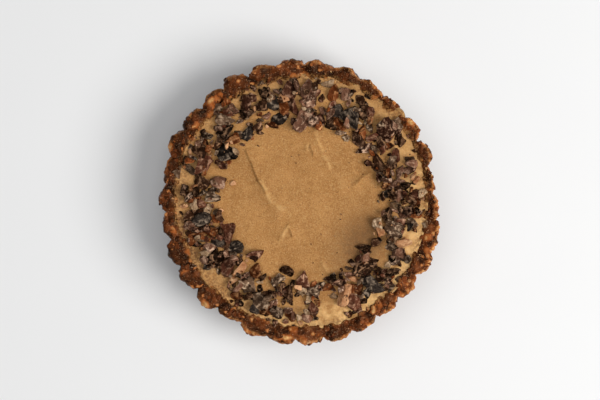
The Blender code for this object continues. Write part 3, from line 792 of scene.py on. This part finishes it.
def broken_piece(draw, look):
    """A broken bit that fills the box from -1 to 1: flat breaks that meet at sharp edges, hollows, and
    a wrinkled surface. It also gives how near each point lies to an edge, how light its face is, and a
    value that grows from layer to layer."""
    aims = SPHERES[look.level][0]
    planes = directions(draw, look.facets)
    upward = np.array((*planes[0, :2] * TOP_LEAN, 1))
    planes[0] = upward / np.linalg.norm(upward)
    depths = np.array([draw.uniform(*FACET_DEPTHS) for _ in planes])
    lightness = np.array([draw.random() for _ in planes])
    facing = aims @ planes.T
    reach = np.where(facing > GRAZING, depths / np.maximum(facing, GRAZING), UNREACHED)
    nearest = reach.argmin(axis=1)
    ordered = np.sort(reach, axis=1)
    edges = np.exp(-((ordered[:, 1] - ordered[:, 0]) / EDGE_WIDTH) ** 2) * (ordered[:, 0] < 1)
    shade = np.where(ordered[:, 0] < 1, lightness[nearest], UNBROKEN_SHADE)
    points = aims * np.minimum(ordered[:, 0], 1)[:, None]
    for _ in range(look.hollows):
        aim_out = unit_vector(draw.uniform(0, tau), draw.uniform(*HOLLOW_UP))
        centre = np.array(aim_out) * draw.uniform(*HOLLOW_OUT)
        size = draw.uniform(*HOLLOW_SIZES)
        offset = points - centre
        away = np.linalg.norm(offset, axis=1)
        inside = away < size
        points = np.where(inside[:, None], centre + offset / away[:, None] * size, points)
        edges = np.maximum(edges * ~inside, np.exp(-((away - size) / EDGE_WIDTH) ** 2))
        shade = np.where(inside, HOLLOW_SHADE, shade)
    shift = Vector((draw.uniform(0, 99), draw.uniform(0, 99), draw.uniform(0, 99)))
    rough = np.array([wrinkle(Vector(p) + shift) for p in points])
    points *= (1 + look.wrinkles * rough)[:, None]
    layer = points @ directions(draw, 1)[0] * LAYERS + LAYER_FOLD * rough
    step = layer - np.floor(layer)
    points *= (1 + look.flakes * (step ** 2 - FLAKE_MIDDLE))[:, None]
    edges = np.maximum(edges, smooth(step, *FLAKE_EDGE) * min(1, look.flakes * FLAKE_PALENESS))
    points[:, 2] += look.curl * draw.uniform(0.5, 1) * points[:, 1] ** 2
    points -= (points.max(axis=0) + points.min(axis=0)) / 2
    return points / np.abs(points).max(axis=0), edges, shade, layer


def wrinkle(point):
    """Folds that wander over a nib, from about -1 to 1."""
    bent = point + noise.noise_vector(point * BEND_PITCH) * BEND
    folds = 1 - 2 * abs(noise.noise(bent * FOLD_PITCH))
    return FOLD_SHARE * folds + (1 - FOLD_SHARE) * noise.noise(point * CREASE_PITCH) - FOLD_MIDDLE


class Heap:
    """Bits gathered by kind, each kind becoming one joined piece."""

    def __init__(self):
        self.parts = defaultdict(list)
        self.settled = []

    def add(self, kind, look, draw, half, matrix, tones=(0, 1)):
        """Makes a bit of these half sizes and lays it in its place, from dark to light within the tones."""
        points, edges, shade, layer = broken_piece(draw, look)
        placed = points * np.array(half) @ np.array(matrix.to_3x3()).T + np.array(matrix.translation)
        tone = TONE_SHARE * draw.uniform(*tones) + (1 - TONE_SHARE) * shade
        edges = edges * draw.uniform(*EDGE_STRENGTHS)
        self.parts[kind].append((placed, SPHERES[look.level][1], edges, tone, layer))

    def settle(self, place, reach, height):
        """Remembers a bit, so that later ones can lie on it."""
        self.settled.append((place.x, place.y, place.z, reach, height))

    def top_at(self, x, y, reach):
        """The height of what already lies at a place, or of the cream."""
        level = cream_height(x, y)
        if self.settled:
            near = np.array(self.settled)
            away = np.hypot(near[:, 0] - x, near[:, 1] - y) / (near[:, 3] + REST_REACH * reach)
            tops = near[:, 2] + near[:, 4] * np.sqrt(np.clip(1 - away ** 2, 0, 1)) * REST_HEIGHT
            level = max(level, np.where(away < 1, tops, 0).max())
        return level

    def make(self, prefix, finishes):
        for kind, parts in sorted(self.parts.items()):
            offsets = np.cumsum([0] + [len(p[0]) for p in parts[:-1]])
            points = np.vstack([p[0] for p in parts])
            faces = np.vstack([p[1] + offset for p, offset in zip(parts, offsets)]).tolist()
            attributes = {label: np.concatenate([p[column] for p in parts])
                          for column, label in enumerate(("edges", "tone", "layer"), start=2)}
            make_piece(f"{prefix}_{kind}", points, faces, finishes[kind], attributes)


def look_of(kind, length):
    """How a bit of a kind is broken, with finer faces on longer ones."""
    level = 5 if length > LONG_BIT else 4 if length > SHORT_BIT else 3
    return LOOKS[kind]._replace(level=level)


def half_sizes(length, width_share, thickness_share):
    """Half sizes in metres of a bit whose length is in mm."""
    return Vector((length, length * width_share, length * thickness_share)) * (MM / 2)


def random_size(draw, sizes, skew):
    """A size between two, more often a small one where the skew is above 1."""
    smallest, largest = sizes
    return smallest + (largest - smallest) * draw.random() ** skew


def add_nib(heap, nib, index):
    """One nib where its solid lies."""
    half, matrix = nib_placing(nib, index)
    draw = random.Random(NIB_BREAK_SEED + index)
    half *= NIB_FULLNESS
    lean = Matrix.Rotation(draw.uniform(-1, 1) * NIB_LEAN, 4, "X")
    if nib.kind in PALE_KINDS:
        matrix = Matrix.Translation((0, 0, PALE_LIFT)) @ matrix
    tones = LARGE_NIB_TONES if index < len(LARGE_NIBS) else (0, 1)
    heap.add(nib.kind, look_of(nib.kind, nib.length), draw, half, matrix @ lean, tones)
    heap.settle(matrix.translation, (half.x + half.y) / 2, half.z)


def ring_gaps(nibs, reach):
    """A map of the ring in cells, each with whether nibs belong there and whether one lies there."""
    side = np.arange(-CHIPS_OUTER, CHIPS_OUTER, GAP_CELL)
    x, y = np.meshgrid(side, side, indexing="ij")
    wanted, covered, pale = np.zeros((3, *x.shape), bool)
    for nib in nibs:
        place = polar(nib.radius, radians(nib.angle), 0)
        across = radians(nib.angle + nib.turn)
        along = (x - place.x) * cos(across) + (y - place.y) * sin(across)
        aside = (y - place.y) * cos(across) - (x - place.x) * sin(across)
        wanted |= (np.hypot(along, aside) < reach + nib.length / 2)
        under = np.hypot(along / nib.length, aside / nib.width) < 0.5
        covered |= under
        pale |= under & (nib.kind in PALE_KINDS)
    radius = np.hypot(x, y)
    bare = np.array([[is_bare(*pair) for pair in zip(*row)] for row in zip(x, y)])
    wanted &= (radius < CHIPS_OUTER) & (radius > RING_INNER - GAP_CELL) & ~bare & ~pale
    return x, y, wanted, covered


def add_bed(heap, nibs):
    """Dark chips sunk in the cream under and between the nibs."""
    draw = random.Random(NIB_SEED + 3)
    kinds, weights = zip(*BED_SHARES.items())
    x, y, wanted, _ = ring_gaps(nibs, BED_REACH)
    free = np.argwhere(wanted)
    for _ in range(BED_COUNT):
        row, column = free[draw.randrange(len(free))]
        place = Vector((x[row, column], y[row, column], 0)) * MM
        length = draw.uniform(*BED_SIZES)
        half = half_sizes(length, draw.uniform(*BED_SLIMNESS), BED_THICKNESS)
        place.z = cream_height(place.x, place.y) + half.z * draw.uniform(*BED_LIFT)
        turned = random_turn(draw, "Z", 0, tau)
        kind = draw.choices(kinds, weights)[0]
        heap.add(kind, LOOKS[kind], draw, half, Matrix.Translation(place) @ turned)


def add_chips(heap, nibs):
    """Chips that fill the gaps between the nibs, some of them lying on others."""
    draw = random.Random(NIB_SEED + 1)
    kinds, weights = zip(*CHIP_SHARES.items())
    x, y, wanted, covered = ring_gaps(nibs, GAP_REACH)
    for added in range(CHIP_COUNT):
        free = np.argwhere(wanted & ~covered if added % LOOSE_EVERY else wanted)
        row, column = free[draw.randrange(len(free))]
        place = Vector((x[row, column], y[row, column], 0))
        length = random_size(draw, CHIP_SIZES, CHIP_SKEW)
        covered |= np.hypot(x - place.x, y - place.y) < CHIP_COVER * length
        half = half_sizes(length, draw.uniform(*CHIP_SLIMNESS), draw.uniform(*CHIP_THICKNESS))
        place *= MM
        place.z = min(heap.top_at(place.x, place.y, half.x) + half.z * CHIP_LIFT, HIGHEST_CHIP)
        turned = (random_turn(draw, "Z", 0, tau) @ random_turn(draw, "X", -CHIP_ROLL, CHIP_ROLL)
                  @ random_turn(draw, "Y", -CHIP_TILT, CHIP_TILT))
        kind = draw.choices(kinds, weights)[0]
        heap.add(kind, look_of(kind, length), draw, half, Matrix.Translation(place) @ turned)
        heap.settle(place, half.x, half.z)


def add_crumbs(heap, nibs):
    """Crumbs of nib that fell about the ring."""
    draw = random.Random(NIB_SEED + 2)
    for _ in range(CRUMB_COUNT):
        host = draw.choice(nibs)
        place = polar(host.radius, radians(host.angle), 0)
        place += polar(draw.gauss(0, CRUMB_SPREAD), draw.uniform(0, pi), 0)
        if hypot(place.x, place.y) > RING_OUTER:
            continue
        size = random_size(draw, CRUMB_SIZES, CRUMB_SKEW) * MM / 2
        place *= MM
        place.z = min(heap.top_at(place.x, place.y, size) + CRUMB_LIFT * size, HIGHEST_CHIP)
        turned = random_turn(draw, "Z", 0, tau)
        kind = draw.choice(CRUMB_KINDS)
        half = Vector((size, size * draw.uniform(*CRUMB_SLIMNESS), size * CRUMB_THICKNESS))
        look = LOOKS[kind]._replace(level=2 if size < FINE_CRUMB else 3)
        heap.add(kind, look, draw, half, Matrix.Translation(place) @ turned)


def add_specks(heap):
    """The specks in the cream's middle, and the golden crumb beside the ring."""
    draw = random.Random(NIB_SEED + 4)
    for kind, specks in (("plum", SPECKS), ("tan", (GOLDEN_CRUMB,))):
        for x, y, size in specks:
            place = Vector((x * MM, y * MM, cream_height(x * MM, y * MM) + SPECK_LIFT * size * MM))
            half = half_sizes(size, *SPECK_SHARES)
            heap.add(kind, LOOKS[kind], draw, half, Matrix.Translation(place))


def make_nibs(finishes):
    nibs = [*LARGE_NIBS, *small_nibs()]
    heap = Heap()
    for index, nib in enumerate(nibs):
        add_nib(heap, nib, index)
    add_bed(heap, nibs)
    add_chips(heap, nibs)
    add_crumbs(heap, nibs)
    add_specks(heap)
    heap.make("nibs", finishes)


def make_crust_bits(grid, golden_lit_edge, finishes):
    """Bits of date and nut that stand out of the crust's rim and wall, each kind one joined piece."""
    normals = grid_normals(grid)
    radius, _, beyond = seen_from_axis(grid)
    open_to_view = (grid[..., 2] > FOOT_CHAMFER) & ((beyond > BITS_FROM) | (normals[..., 2] < BITS_SLOPE))
    places = np.argwhere(open_to_view & (radius > FOOT_RADIUS - MM))
    draw = random.Random(CRUST_SEED)
    heap = Heap()
    for _ in range(CRUST_BIT_COUNT):
        row, column = places[draw.randrange(len(places))]
        length = random_size(draw, CRUST_BIT_SIZES, CRUST_BIT_SKEW)
        width = length * draw.uniform(*CRUST_BIT_SLIMNESS)
        kind = "nut" if draw.random() < NUT_BIT_SHARE + BRINK_NUTS * golden_lit_edge[row, column] else "date"
        scale = NUT_BIT_SCALE if kind == "nut" else 1
        half = Vector((length, width, width * CRUST_BIT_THICKNESS)) * (MM / 2 * scale)
        normal = Vector(normals[row, column])
        place = Vector(grid[row, column]) - normal * half.z * draw.uniform(*CRUST_BIT_SUNK)
        standing = Matrix.Translation(place) @ normal.to_track_quat("Z", "Y").to_matrix().to_4x4()
        look = CRUST_LOOK._replace(level=3 if length > LARGE_CRUST_BIT else 2)
        heap.add(kind, look, draw, half, standing @ random_turn(draw, "Z", 0, pi))
    heap.make("crust_bits", finishes)


# Materials

def add(tree, kind, inputs=(), **settings):
    """A shader node with its settings, and its inputs set or linked."""
    node = tree.nodes.new(kind)
    for label, value in settings.items():
        setattr(node, label, value)
    for key, value in dict(inputs).items():
        if isinstance(value, bpy.types.NodeSocket):
            tree.links.new(value, node.inputs[key])
        else:
            node.inputs[key].default_value = value
    return node


def new_material(name, **shader_inputs):
    made = bpy.data.materials.new(name)
    made.use_nodes = True
    for label, value in shader_inputs.items():
        made.node_tree.nodes["Principled BSDF"].inputs[label.replace("_", " ")].default_value = value
    return made, made.node_tree, add(made.node_tree, "ShaderNodeTexCoord").outputs["Object"]


def noise_at(tree, place, size, detail=3.0, roughness=0.55):
    """Noise from 0 to 1 with features of a size in metres."""
    return add(tree, "ShaderNodeTexNoise", {"Vector": place, "Scale": 1 / size, "Detail": detail,
                                            "Roughness": roughness}).outputs["Fac"]


def attribute(tree, name):
    return add(tree, "ShaderNodeAttribute", attribute_name=name).outputs["Fac"]


def mapped(tree, value, low, high, to_low=0.0, to_high=1.0):
    return add(tree, "ShaderNodeMapRange", {"Value": value, "From Min": low, "From Max": high,
                                            "To Min": to_low, "To Max": to_high}).outputs["Result"]


def maths(tree, operation, first, second):
    return add(tree, "ShaderNodeMath", {0: first, 1: second}, operation=operation).outputs[0]


def weighted(tree, name, share):
    """One of the mesh's attributes times a share."""
    return maths(tree, "MULTIPLY", attribute(tree, name), share)


def mixed(tree, share, first, second):
    """A colour between two, each a socket or red, green and blue."""
    first, second = (c if isinstance(c, bpy.types.NodeSocket) else (*c, 1) for c in (first, second))
    node = add(tree, "ShaderNodeMix", {0: share, 6: first, 7: second}, data_type="RGBA")
    return node.outputs[2]


def layered(tree, colour, *layers):
    """The colour with tints laid over it. Each has a value, where in it the tint begins and where it is
    full, how much of it shows there, and its colour."""
    for value, low, high, most, tint in layers:
        colour = mixed(tree, mapped(tree, value, low, high, 0, most), colour, tint)
    return colour


def bumped(tree, height, distance, strength=1.0, below=None):
    inputs = {"Height": height, "Distance": distance, "Strength": strength}
    if below is not None:
        inputs["Normal"] = below
    return add(tree, "ShaderNodeBump", inputs).outputs["Normal"]


def finished(made, colour, grain, roughness, normal):
    """The material with its shader fed. The roughness follows the grain from one value to another."""
    inputs = made.node_tree.nodes["Principled BSDF"].inputs
    rough = mapped(made.node_tree, grain, 0.3, 0.7, *roughness)
    for label, socket in (("Base Color", colour), ("Roughness", rough), ("Normal", normal)):
        made.node_tree.links.new(socket, inputs[label])
    return made


def paste_colour(tree, place, colour, fine):
    """The colour of date paste with fine mottling and small painted glints, painted lighter toward the lit
    side and darker away from it, as light and shade."""
    # Painted glints: small highlights put into the colour
    painted_glint = noise_at(tree, place, 0.36 * MM, 2, 0.5)
    colour = layered(tree, colour, (fine, 0.56, 0.74, 0.35, MOTTLED_PASTE), (painted_glint, 0.62, 0.72, 0.65, PAINTED_GLINT))
    # Painted light and shade: the paste is scaled lighter toward the lit side and darker away from it
    toward = (cos(LIT_SIDE), sin(LIT_SIDE), 0)
    side = add(tree, "ShaderNodeVectorMath", {0: place, 1: toward}, operation="DOT_PRODUCT").outputs["Value"]
    scale = mapped(tree, side, -RIM_RADIUS, RIM_RADIUS, *LIT_SIDE_SCALES)
    return add(tree, "ShaderNodeVectorMath", {0: colour, "Scale": scale}, operation="SCALE").outputs[0]


DARKEST_PASTE, LIGHT_PASTE = (0.014, 0.0034, 0.0010), (0.150, 0.040, 0.011)
DARK_PASTE, AMBER_PASTE = (0.018, 0.0045, 0.0015), (0.245, 0.060, 0.014)
# The glint colour is a painted highlight
MOTTLED_PASTE, PAINTED_GLINT = (0.38, 0.118, 0.032), (0.66, 0.36, 0.19)
DATE_COLOURS = (0.017, 0.0044, 0.0015), (0.180, 0.045, 0.012)
PASTE_SHINE = {"Specular_IOR_Level": 0.08, "Specular_Tint": (1, 0.75, 0.5, 1)}
PASTE_ROUGHNESS = (0.08, 0.3)
NUT_RIND = (0.33, 0.092, 0.021)
NUT_FLESH = (0.46, 0.20, 0.055), (0.80, 0.50, 0.21)
NUT_BIT_COLOURS = (0.22, 0.065, 0.014), (0.62, 0.32, 0.10)
NUT_SKIN = (0.10, 0.03, 0.010)
# Golden outer edge of the crust, partly toasted nuts and partly painted light
TOASTED_AND_LIT_CRUST = (0.50, 0.150, 0.034), (0.86, 0.480, 0.180)
CREAM_DEEP, CREAM_PALE = (0.37, 0.168, 0.047), (0.48, 0.232, 0.072)
PALE_GRAIN, DARK_GRAIN = (0.66, 0.42, 0.18), (0.20, 0.088, 0.028)
PALE_MOTTLE, DARK_MOTTLE = (0.62, 0.36, 0.14), (0.25, 0.105, 0.03)
# The cream's gold is partly painted light toward the lit side; its lip colour is a painted highlight
CREAM_FILM, CREAM_GOLD_AND_LIT, CREAM_LIP_HIGHLIGHT = (0.42, 0.200, 0.064), (0.78, 0.47, 0.190), (0.68, 0.42, 0.17)
CREAM_STAIN, MARK_SHADE = (0.15, 0.062, 0.022), (0.12, 0.05, 0.012)
# The nib dust colour is dust with painted shadow
NIB_DUST_AND_SHADOW, CREAM_SPECK = (0.10, 0.045, 0.018), (0.10, 0.04, 0.018)
FLOOR_COLOURS = (0.82, 0.82, 0.82), (0.84, 0.84, 0.84)


def crust_material():
    made, tree, place = new_material("date_nut_crust", Subsurface_Weight=0.12, Subsurface_Scale=1.6 * MM,
                                     Subsurface_Radius=(0.9, 0.35, 0.15), **PASTE_SHINE)
    broad = noise_at(tree, place, 3.2 * MM, 4)
    fine = noise_at(tree, place, 0.7 * MM, 4, 0.7)
    lump = attribute(tree, "lump")
    paste = mixed(tree, mapped(tree, broad, 0.40, 0.66), DARKEST_PASTE, LIGHT_PASTE)
    paste = layered(tree, paste, (lump, 0.55, 1.0, 0.5, AMBER_PASTE), (lump, 0.6, 0.1, 0.65, DARK_PASTE))
    paste = paste_colour(tree, place, paste, fine)
    nut = mixed(tree, mapped(tree, fine, 0.3, 0.7), *NUT_FLESH)
    under = noise_at(tree, place, 2.0 * MM, 1)
    low = mapped(tree, add(tree, "ShaderNodeSeparateXYZ", {0: place}).outputs["Z"], 0.1 * MM, 0.0)
    spots = maths(tree, "MULTIPLY", mapped(tree, under, 0.60, 0.66), low)
    share = maths(tree, "MAXIMUM", attribute(tree, "nut"), spots)
    share = maths(tree, "ADD", share, maths(tree, "MULTIPLY", maths(tree, "SUBTRACT", broad, 0.5), 0.5))
    colour = layered(tree, paste, (share, 0.12, 0.5, 1, NUT_RIND), (share, 0.5, 0.95, 1, nut))
    # The golden outer edge, with painted light toward the lit side and painted shade on the other
    toasted_and_lit = mixed(tree, mapped(tree, fine, 0.46, 0.62), *TOASTED_AND_LIT_CRUST)
    golden_lit_edge = weighted(tree, "golden_lit_edge", mapped(tree, broad, 0.42, 0.54, 0.05, 1.0))
    colour = mixed(tree, golden_lit_edge, colour, toasted_and_lit)
    film = weighted(tree, "film", mapped(tree, fine, 0.44, 0.54, 0, 0.9))
    colour = mixed(tree, film, colour, CREAM_FILM)
    soft = bumped(tree, noise_at(tree, place, 0.8 * MM, 3, 0.55), 0.30 * MM, 0.8)
    return finished(made, colour, fine, PASTE_ROUGHNESS, soft)


def cream_material():
    made, tree, place = new_material("peanut_cream", Specular_IOR_Level=0.12, Subsurface_Weight=0.15,
                                     Subsurface_Radius=(1.0, 0.6, 0.3), Subsurface_Scale=1.2 * MM)
    broad = noise_at(tree, place, 9 * MM, 3)
    grain = noise_at(tree, place, 0.42 * MM, 2, 0.6)
    mottle = noise_at(tree, place, 1.5 * MM, 3, 0.6)
    colour = layered(tree, mixed(tree, mapped(tree, broad, 0.3, 0.7), CREAM_DEEP, CREAM_PALE),
                     (grain, 0.52, 0.72, 0.55, PALE_GRAIN), (grain, 0.48, 0.28, 0.6, DARK_GRAIN),
                     (mottle, 0.50, 0.72, 0.22, PALE_MOTTLE), (mottle, 0.46, 0.30, 0.20, DARK_MOTTLE))
    patches = noise_at(tree, place, 3.2 * MM, 3)
    # Golden outer cream, more golden toward the lit side as painted light
    golden_and_lit = weighted(tree, "outer", mapped(tree, patches, 0.34, 0.56))
    # Painted highlight on the lips of the spatula's marks
    lip = weighted(tree, "lip", mapped(tree, mottle, 0.35, 0.6, 0.1, 0.45))
    # Dust of the nibs with their painted shadow
    dust_and_shadow = weighted(tree, "dust_and_shadow", mapped(tree, mottle, 0.3, 0.7, 0.5, 0.8))
    cells = add(tree, "ShaderNodeTexVoronoi", {"Vector": place, "Scale": 1 / (1.9 * MM)})
    chosen = add(tree, "ShaderNodeSeparateColor", {0: cells.outputs["Color"]}).outputs[0]
    speck = maths(tree, "MULTIPLY", mapped(tree, cells.outputs["Distance"], 0.12, 0.07),
                  mapped(tree, chosen, 0.70, 0.74))
    # The cream's edge: stained all round, darker further in on one side, and less dark toward the lit side as
    # painted light
    stain = weighted(tree, "edge", mapped(tree, broad, 0.35, 0.6, 0.35, 0.9))
    stain = maths(tree, "MULTIPLY", stain, mapped(tree, noise_at(tree, place, 0.9 * MM, 3, 0.7), 0.42, 0.58))
    # Laid over in turn: gold with painted light, painted shade of the marks, painted highlight of their lips,
    # dust with painted shadow, specks, and the edge's stain
    for share, tint in ((golden_and_lit, CREAM_GOLD_AND_LIT), (weighted(tree, "tint", 0.24), MARK_SHADE), (lip, CREAM_LIP_HIGHLIGHT),
                        (dust_and_shadow, NIB_DUST_AND_SHADOW), (maths(tree, "MULTIPLY", speck, 0.7), CREAM_SPECK),
                        (stain, CREAM_STAIN)):
        colour = mixed(tree, share, colour, tint)
    pores = bumped(tree, noise_at(tree, place, 1.6 * MM, 2), 0.10 * MM, 0.5)
    return finished(made, colour, grain, (0.48, 0.66), bumped(tree, grain, 0.14 * MM, 0.8, pores))


# Each kind of nib: its dark and light colours, the colour of its pale edges and veins, the edges partly
# painted highlights, and its roughness
NIB_LOOKS = {
    "dark": ((0.003, 0.0009, 0.0003), (0.052, 0.0180, 0.0074), (0.50, 0.27, 0.145), 0.34),
    "slate": ((0.003, 0.0019, 0.0014), (0.052, 0.0370, 0.0290), (0.40, 0.29, 0.200), 0.30),
    "plum": ((0.006, 0.0015, 0.0006), (0.155, 0.0490, 0.0250), (0.64, 0.37, 0.225), 0.36),
    "rust": ((0.012, 0.0021, 0.0004), (0.280, 0.0700, 0.0180), (0.72, 0.36, 0.150), 0.36),
    "rose": ((0.013, 0.0040, 0.0017), (0.290, 0.1290, 0.0740), (0.80, 0.52, 0.345), 0.40),
    "ash": ((0.006, 0.0025, 0.0011), (0.165, 0.0900, 0.0510), (0.68, 0.47, 0.305), 0.42),
    "tan": ((0.300, 0.1150, 0.0450), (0.800, 0.4200, 0.2100), (0.80, 0.50, 0.260), 0.42),
    "husk": ((0.150, 0.0750, 0.0350), (0.520, 0.3350, 0.1900), (0.75, 0.56, 0.370), 0.50),
}


def nib_material(kind):
    dark, light, pale, roughness = NIB_LOOKS[kind]
    made, tree, place = new_material(f"nib_{kind}", Specular_IOR_Level=0.06, Specular_Tint=(1, 0.75, 0.55, 1))
    broad = noise_at(tree, place, 1.6 * MM, 3)
    fine = noise_at(tree, place, 0.45 * MM, 4, 0.7)
    mottle = maths(tree, "ADD", maths(tree, "MULTIPLY", broad, 0.55), weighted(tree, "tone", 0.9))
    mottle = maths(tree, "ADD", mottle, maths(tree, "MULTIPLY", fine, 0.2))
    colour = mixed(tree, mapped(tree, mottle, 0.52, 1.20), dark, light)
    layers = maths(tree, "ADD", weighted(tree, "layer", FIBRES), maths(tree, "MULTIPLY", fine, 0.8))
    fibre = mapped(tree, maths(tree, "FRACT", layers, 0), 0.80, 0.94)
    fibre = maths(tree, "MULTIPLY", fibre, mapped(tree, broad, 0.46, 0.60, 0, 0.5))
    # Pale broken edges, partly painted edge highlights
    pale_edges_and_highlights = weighted(tree, "edges", mapped(tree, broad, 0.46, 0.58))
    colour = layered(tree, colour, (fine, 0.60, 0.70, 0.3, mixed(tree, 0.5, colour, pale)))
    colour = mixed(tree, maths(tree, "MAXIMUM", fibre, pale_edges_and_highlights), colour, pale)
    creased = bumped(tree, layers, 0.14 * MM, 0.7)
    return finished(made, colour, fine, (roughness - 0.1, roughness + 0.15),
                    bumped(tree, fine, 0.2 * MM, 0.8, creased))


def date_material():
    made, tree, place = new_material("date_bits", Subsurface_Weight=0.2, Subsurface_Scale=1.0 * MM,
                                     Subsurface_Radius=(1.0, 0.3, 0.1), **PASTE_SHINE)
    fine = noise_at(tree, place, 0.6 * MM, 4, 0.65)
    colour = paste_colour(tree, place, mixed(tree, attribute(tree, "tone"), *DATE_COLOURS), fine)
    return finished(made, colour, fine, PASTE_ROUGHNESS, bumped(tree, fine, 0.3 * MM, 0.9))


def nut_material():
    made, tree, place = new_material("nut_bits", Specular_IOR_Level=0.5, Subsurface_Weight=0.2,
                                     Subsurface_Radius=(1.0, 0.5, 0.2), Subsurface_Scale=1.2 * MM)
    fine = noise_at(tree, place, 0.8 * MM, 4, 0.65)
    colour = mixed(tree, mapped(tree, attribute(tree, "tone"), 0.2, 0.9), *NUT_BIT_COLOURS)
    colour = layered(tree, colour, (fine, 0.50, 0.68, 1, NUT_SKIN))
    return finished(made, colour, fine, (0.35, 0.55), bumped(tree, fine, 0.2 * MM, 0.6))


def floor_material():
    made, tree, place = new_material("pale_floor", Roughness=0.9, Specular_IOR_Level=0.1)
    shade = mixed(tree, noise_at(tree, place, 0.05, 2), *FLOOR_COLOURS)
    tree.links.new(shade, tree.nodes["Principled BSDF"].inputs["Base Color"])
    return made


# Stage

def make_floor():
    bm = bmesh.new()
    bmesh.ops.create_grid(bm, x_segments=8, y_segments=8, size=FLOOR_HALF_SIZE)
    mesh = bpy.data.meshes.new("floor")
    bm.to_mesh(mesh)
    bm.free()
    mesh.materials.append(floor_material())
    add_object("floor", mesh)


def make_lights():
    """Two round soft lights aimed at the tartlet, and a weak light from all round."""
    middle = Vector((0, 0, RIM_HEIGHT / 2))
    for lamp in LAMPS:
        data = bpy.data.lights.new(lamp.name, "AREA")
        data.shape = "DISK"
        data.size, data.energy, data.color = lamp.size, lamp.power, lamp.colour
        light = add_object(lamp.name, data)
        toward = polar(cos(lamp.elevation), lamp.direction, sin(lamp.elevation))
        light.location = middle + lamp.distance * toward
        light.rotation_euler = (middle - light.location).to_track_quat("-Z", "Y").to_euler()
    world = bpy.data.worlds.new("studio")
    world.use_nodes = True
    background = world.node_tree.nodes["Background"]
    background.inputs["Color"].default_value = WORLD_COLOUR
    background.inputs["Strength"].default_value = WORLD_STRENGTH
    bpy.context.scene.world = world


def make_camera():
    """Straight above, as the photograph is taken."""
    data = bpy.data.cameras.new("camera")
    data.lens = LENS
    data.sensor_width = SENSOR
    camera = add_object("camera", data)
    camera.location = (0, AXIS_ABOVE_MIDDLE, RIM_HEIGHT + PHOTO_WIDTH * PIXEL * LENS / SENSOR)
    camera.rotation_euler = (0, 0, 0)
    bpy.context.scene.camera = camera


def main():
    noise.seed_set(NOISE_SEED)
    bpy.context.scene.view_settings.view_transform = "Standard"
    grid, golden_lit_edge = make_crust(crust_material())
    make_crust_bits(grid, golden_lit_edge, {"nut": nut_material(), "date": date_material()})
    make_cream(cream_material())
    make_nibs({kind: nib_material(kind) for kind in NIB_LOOKS})
    make_floor()
    make_lights()
    make_camera()


main()
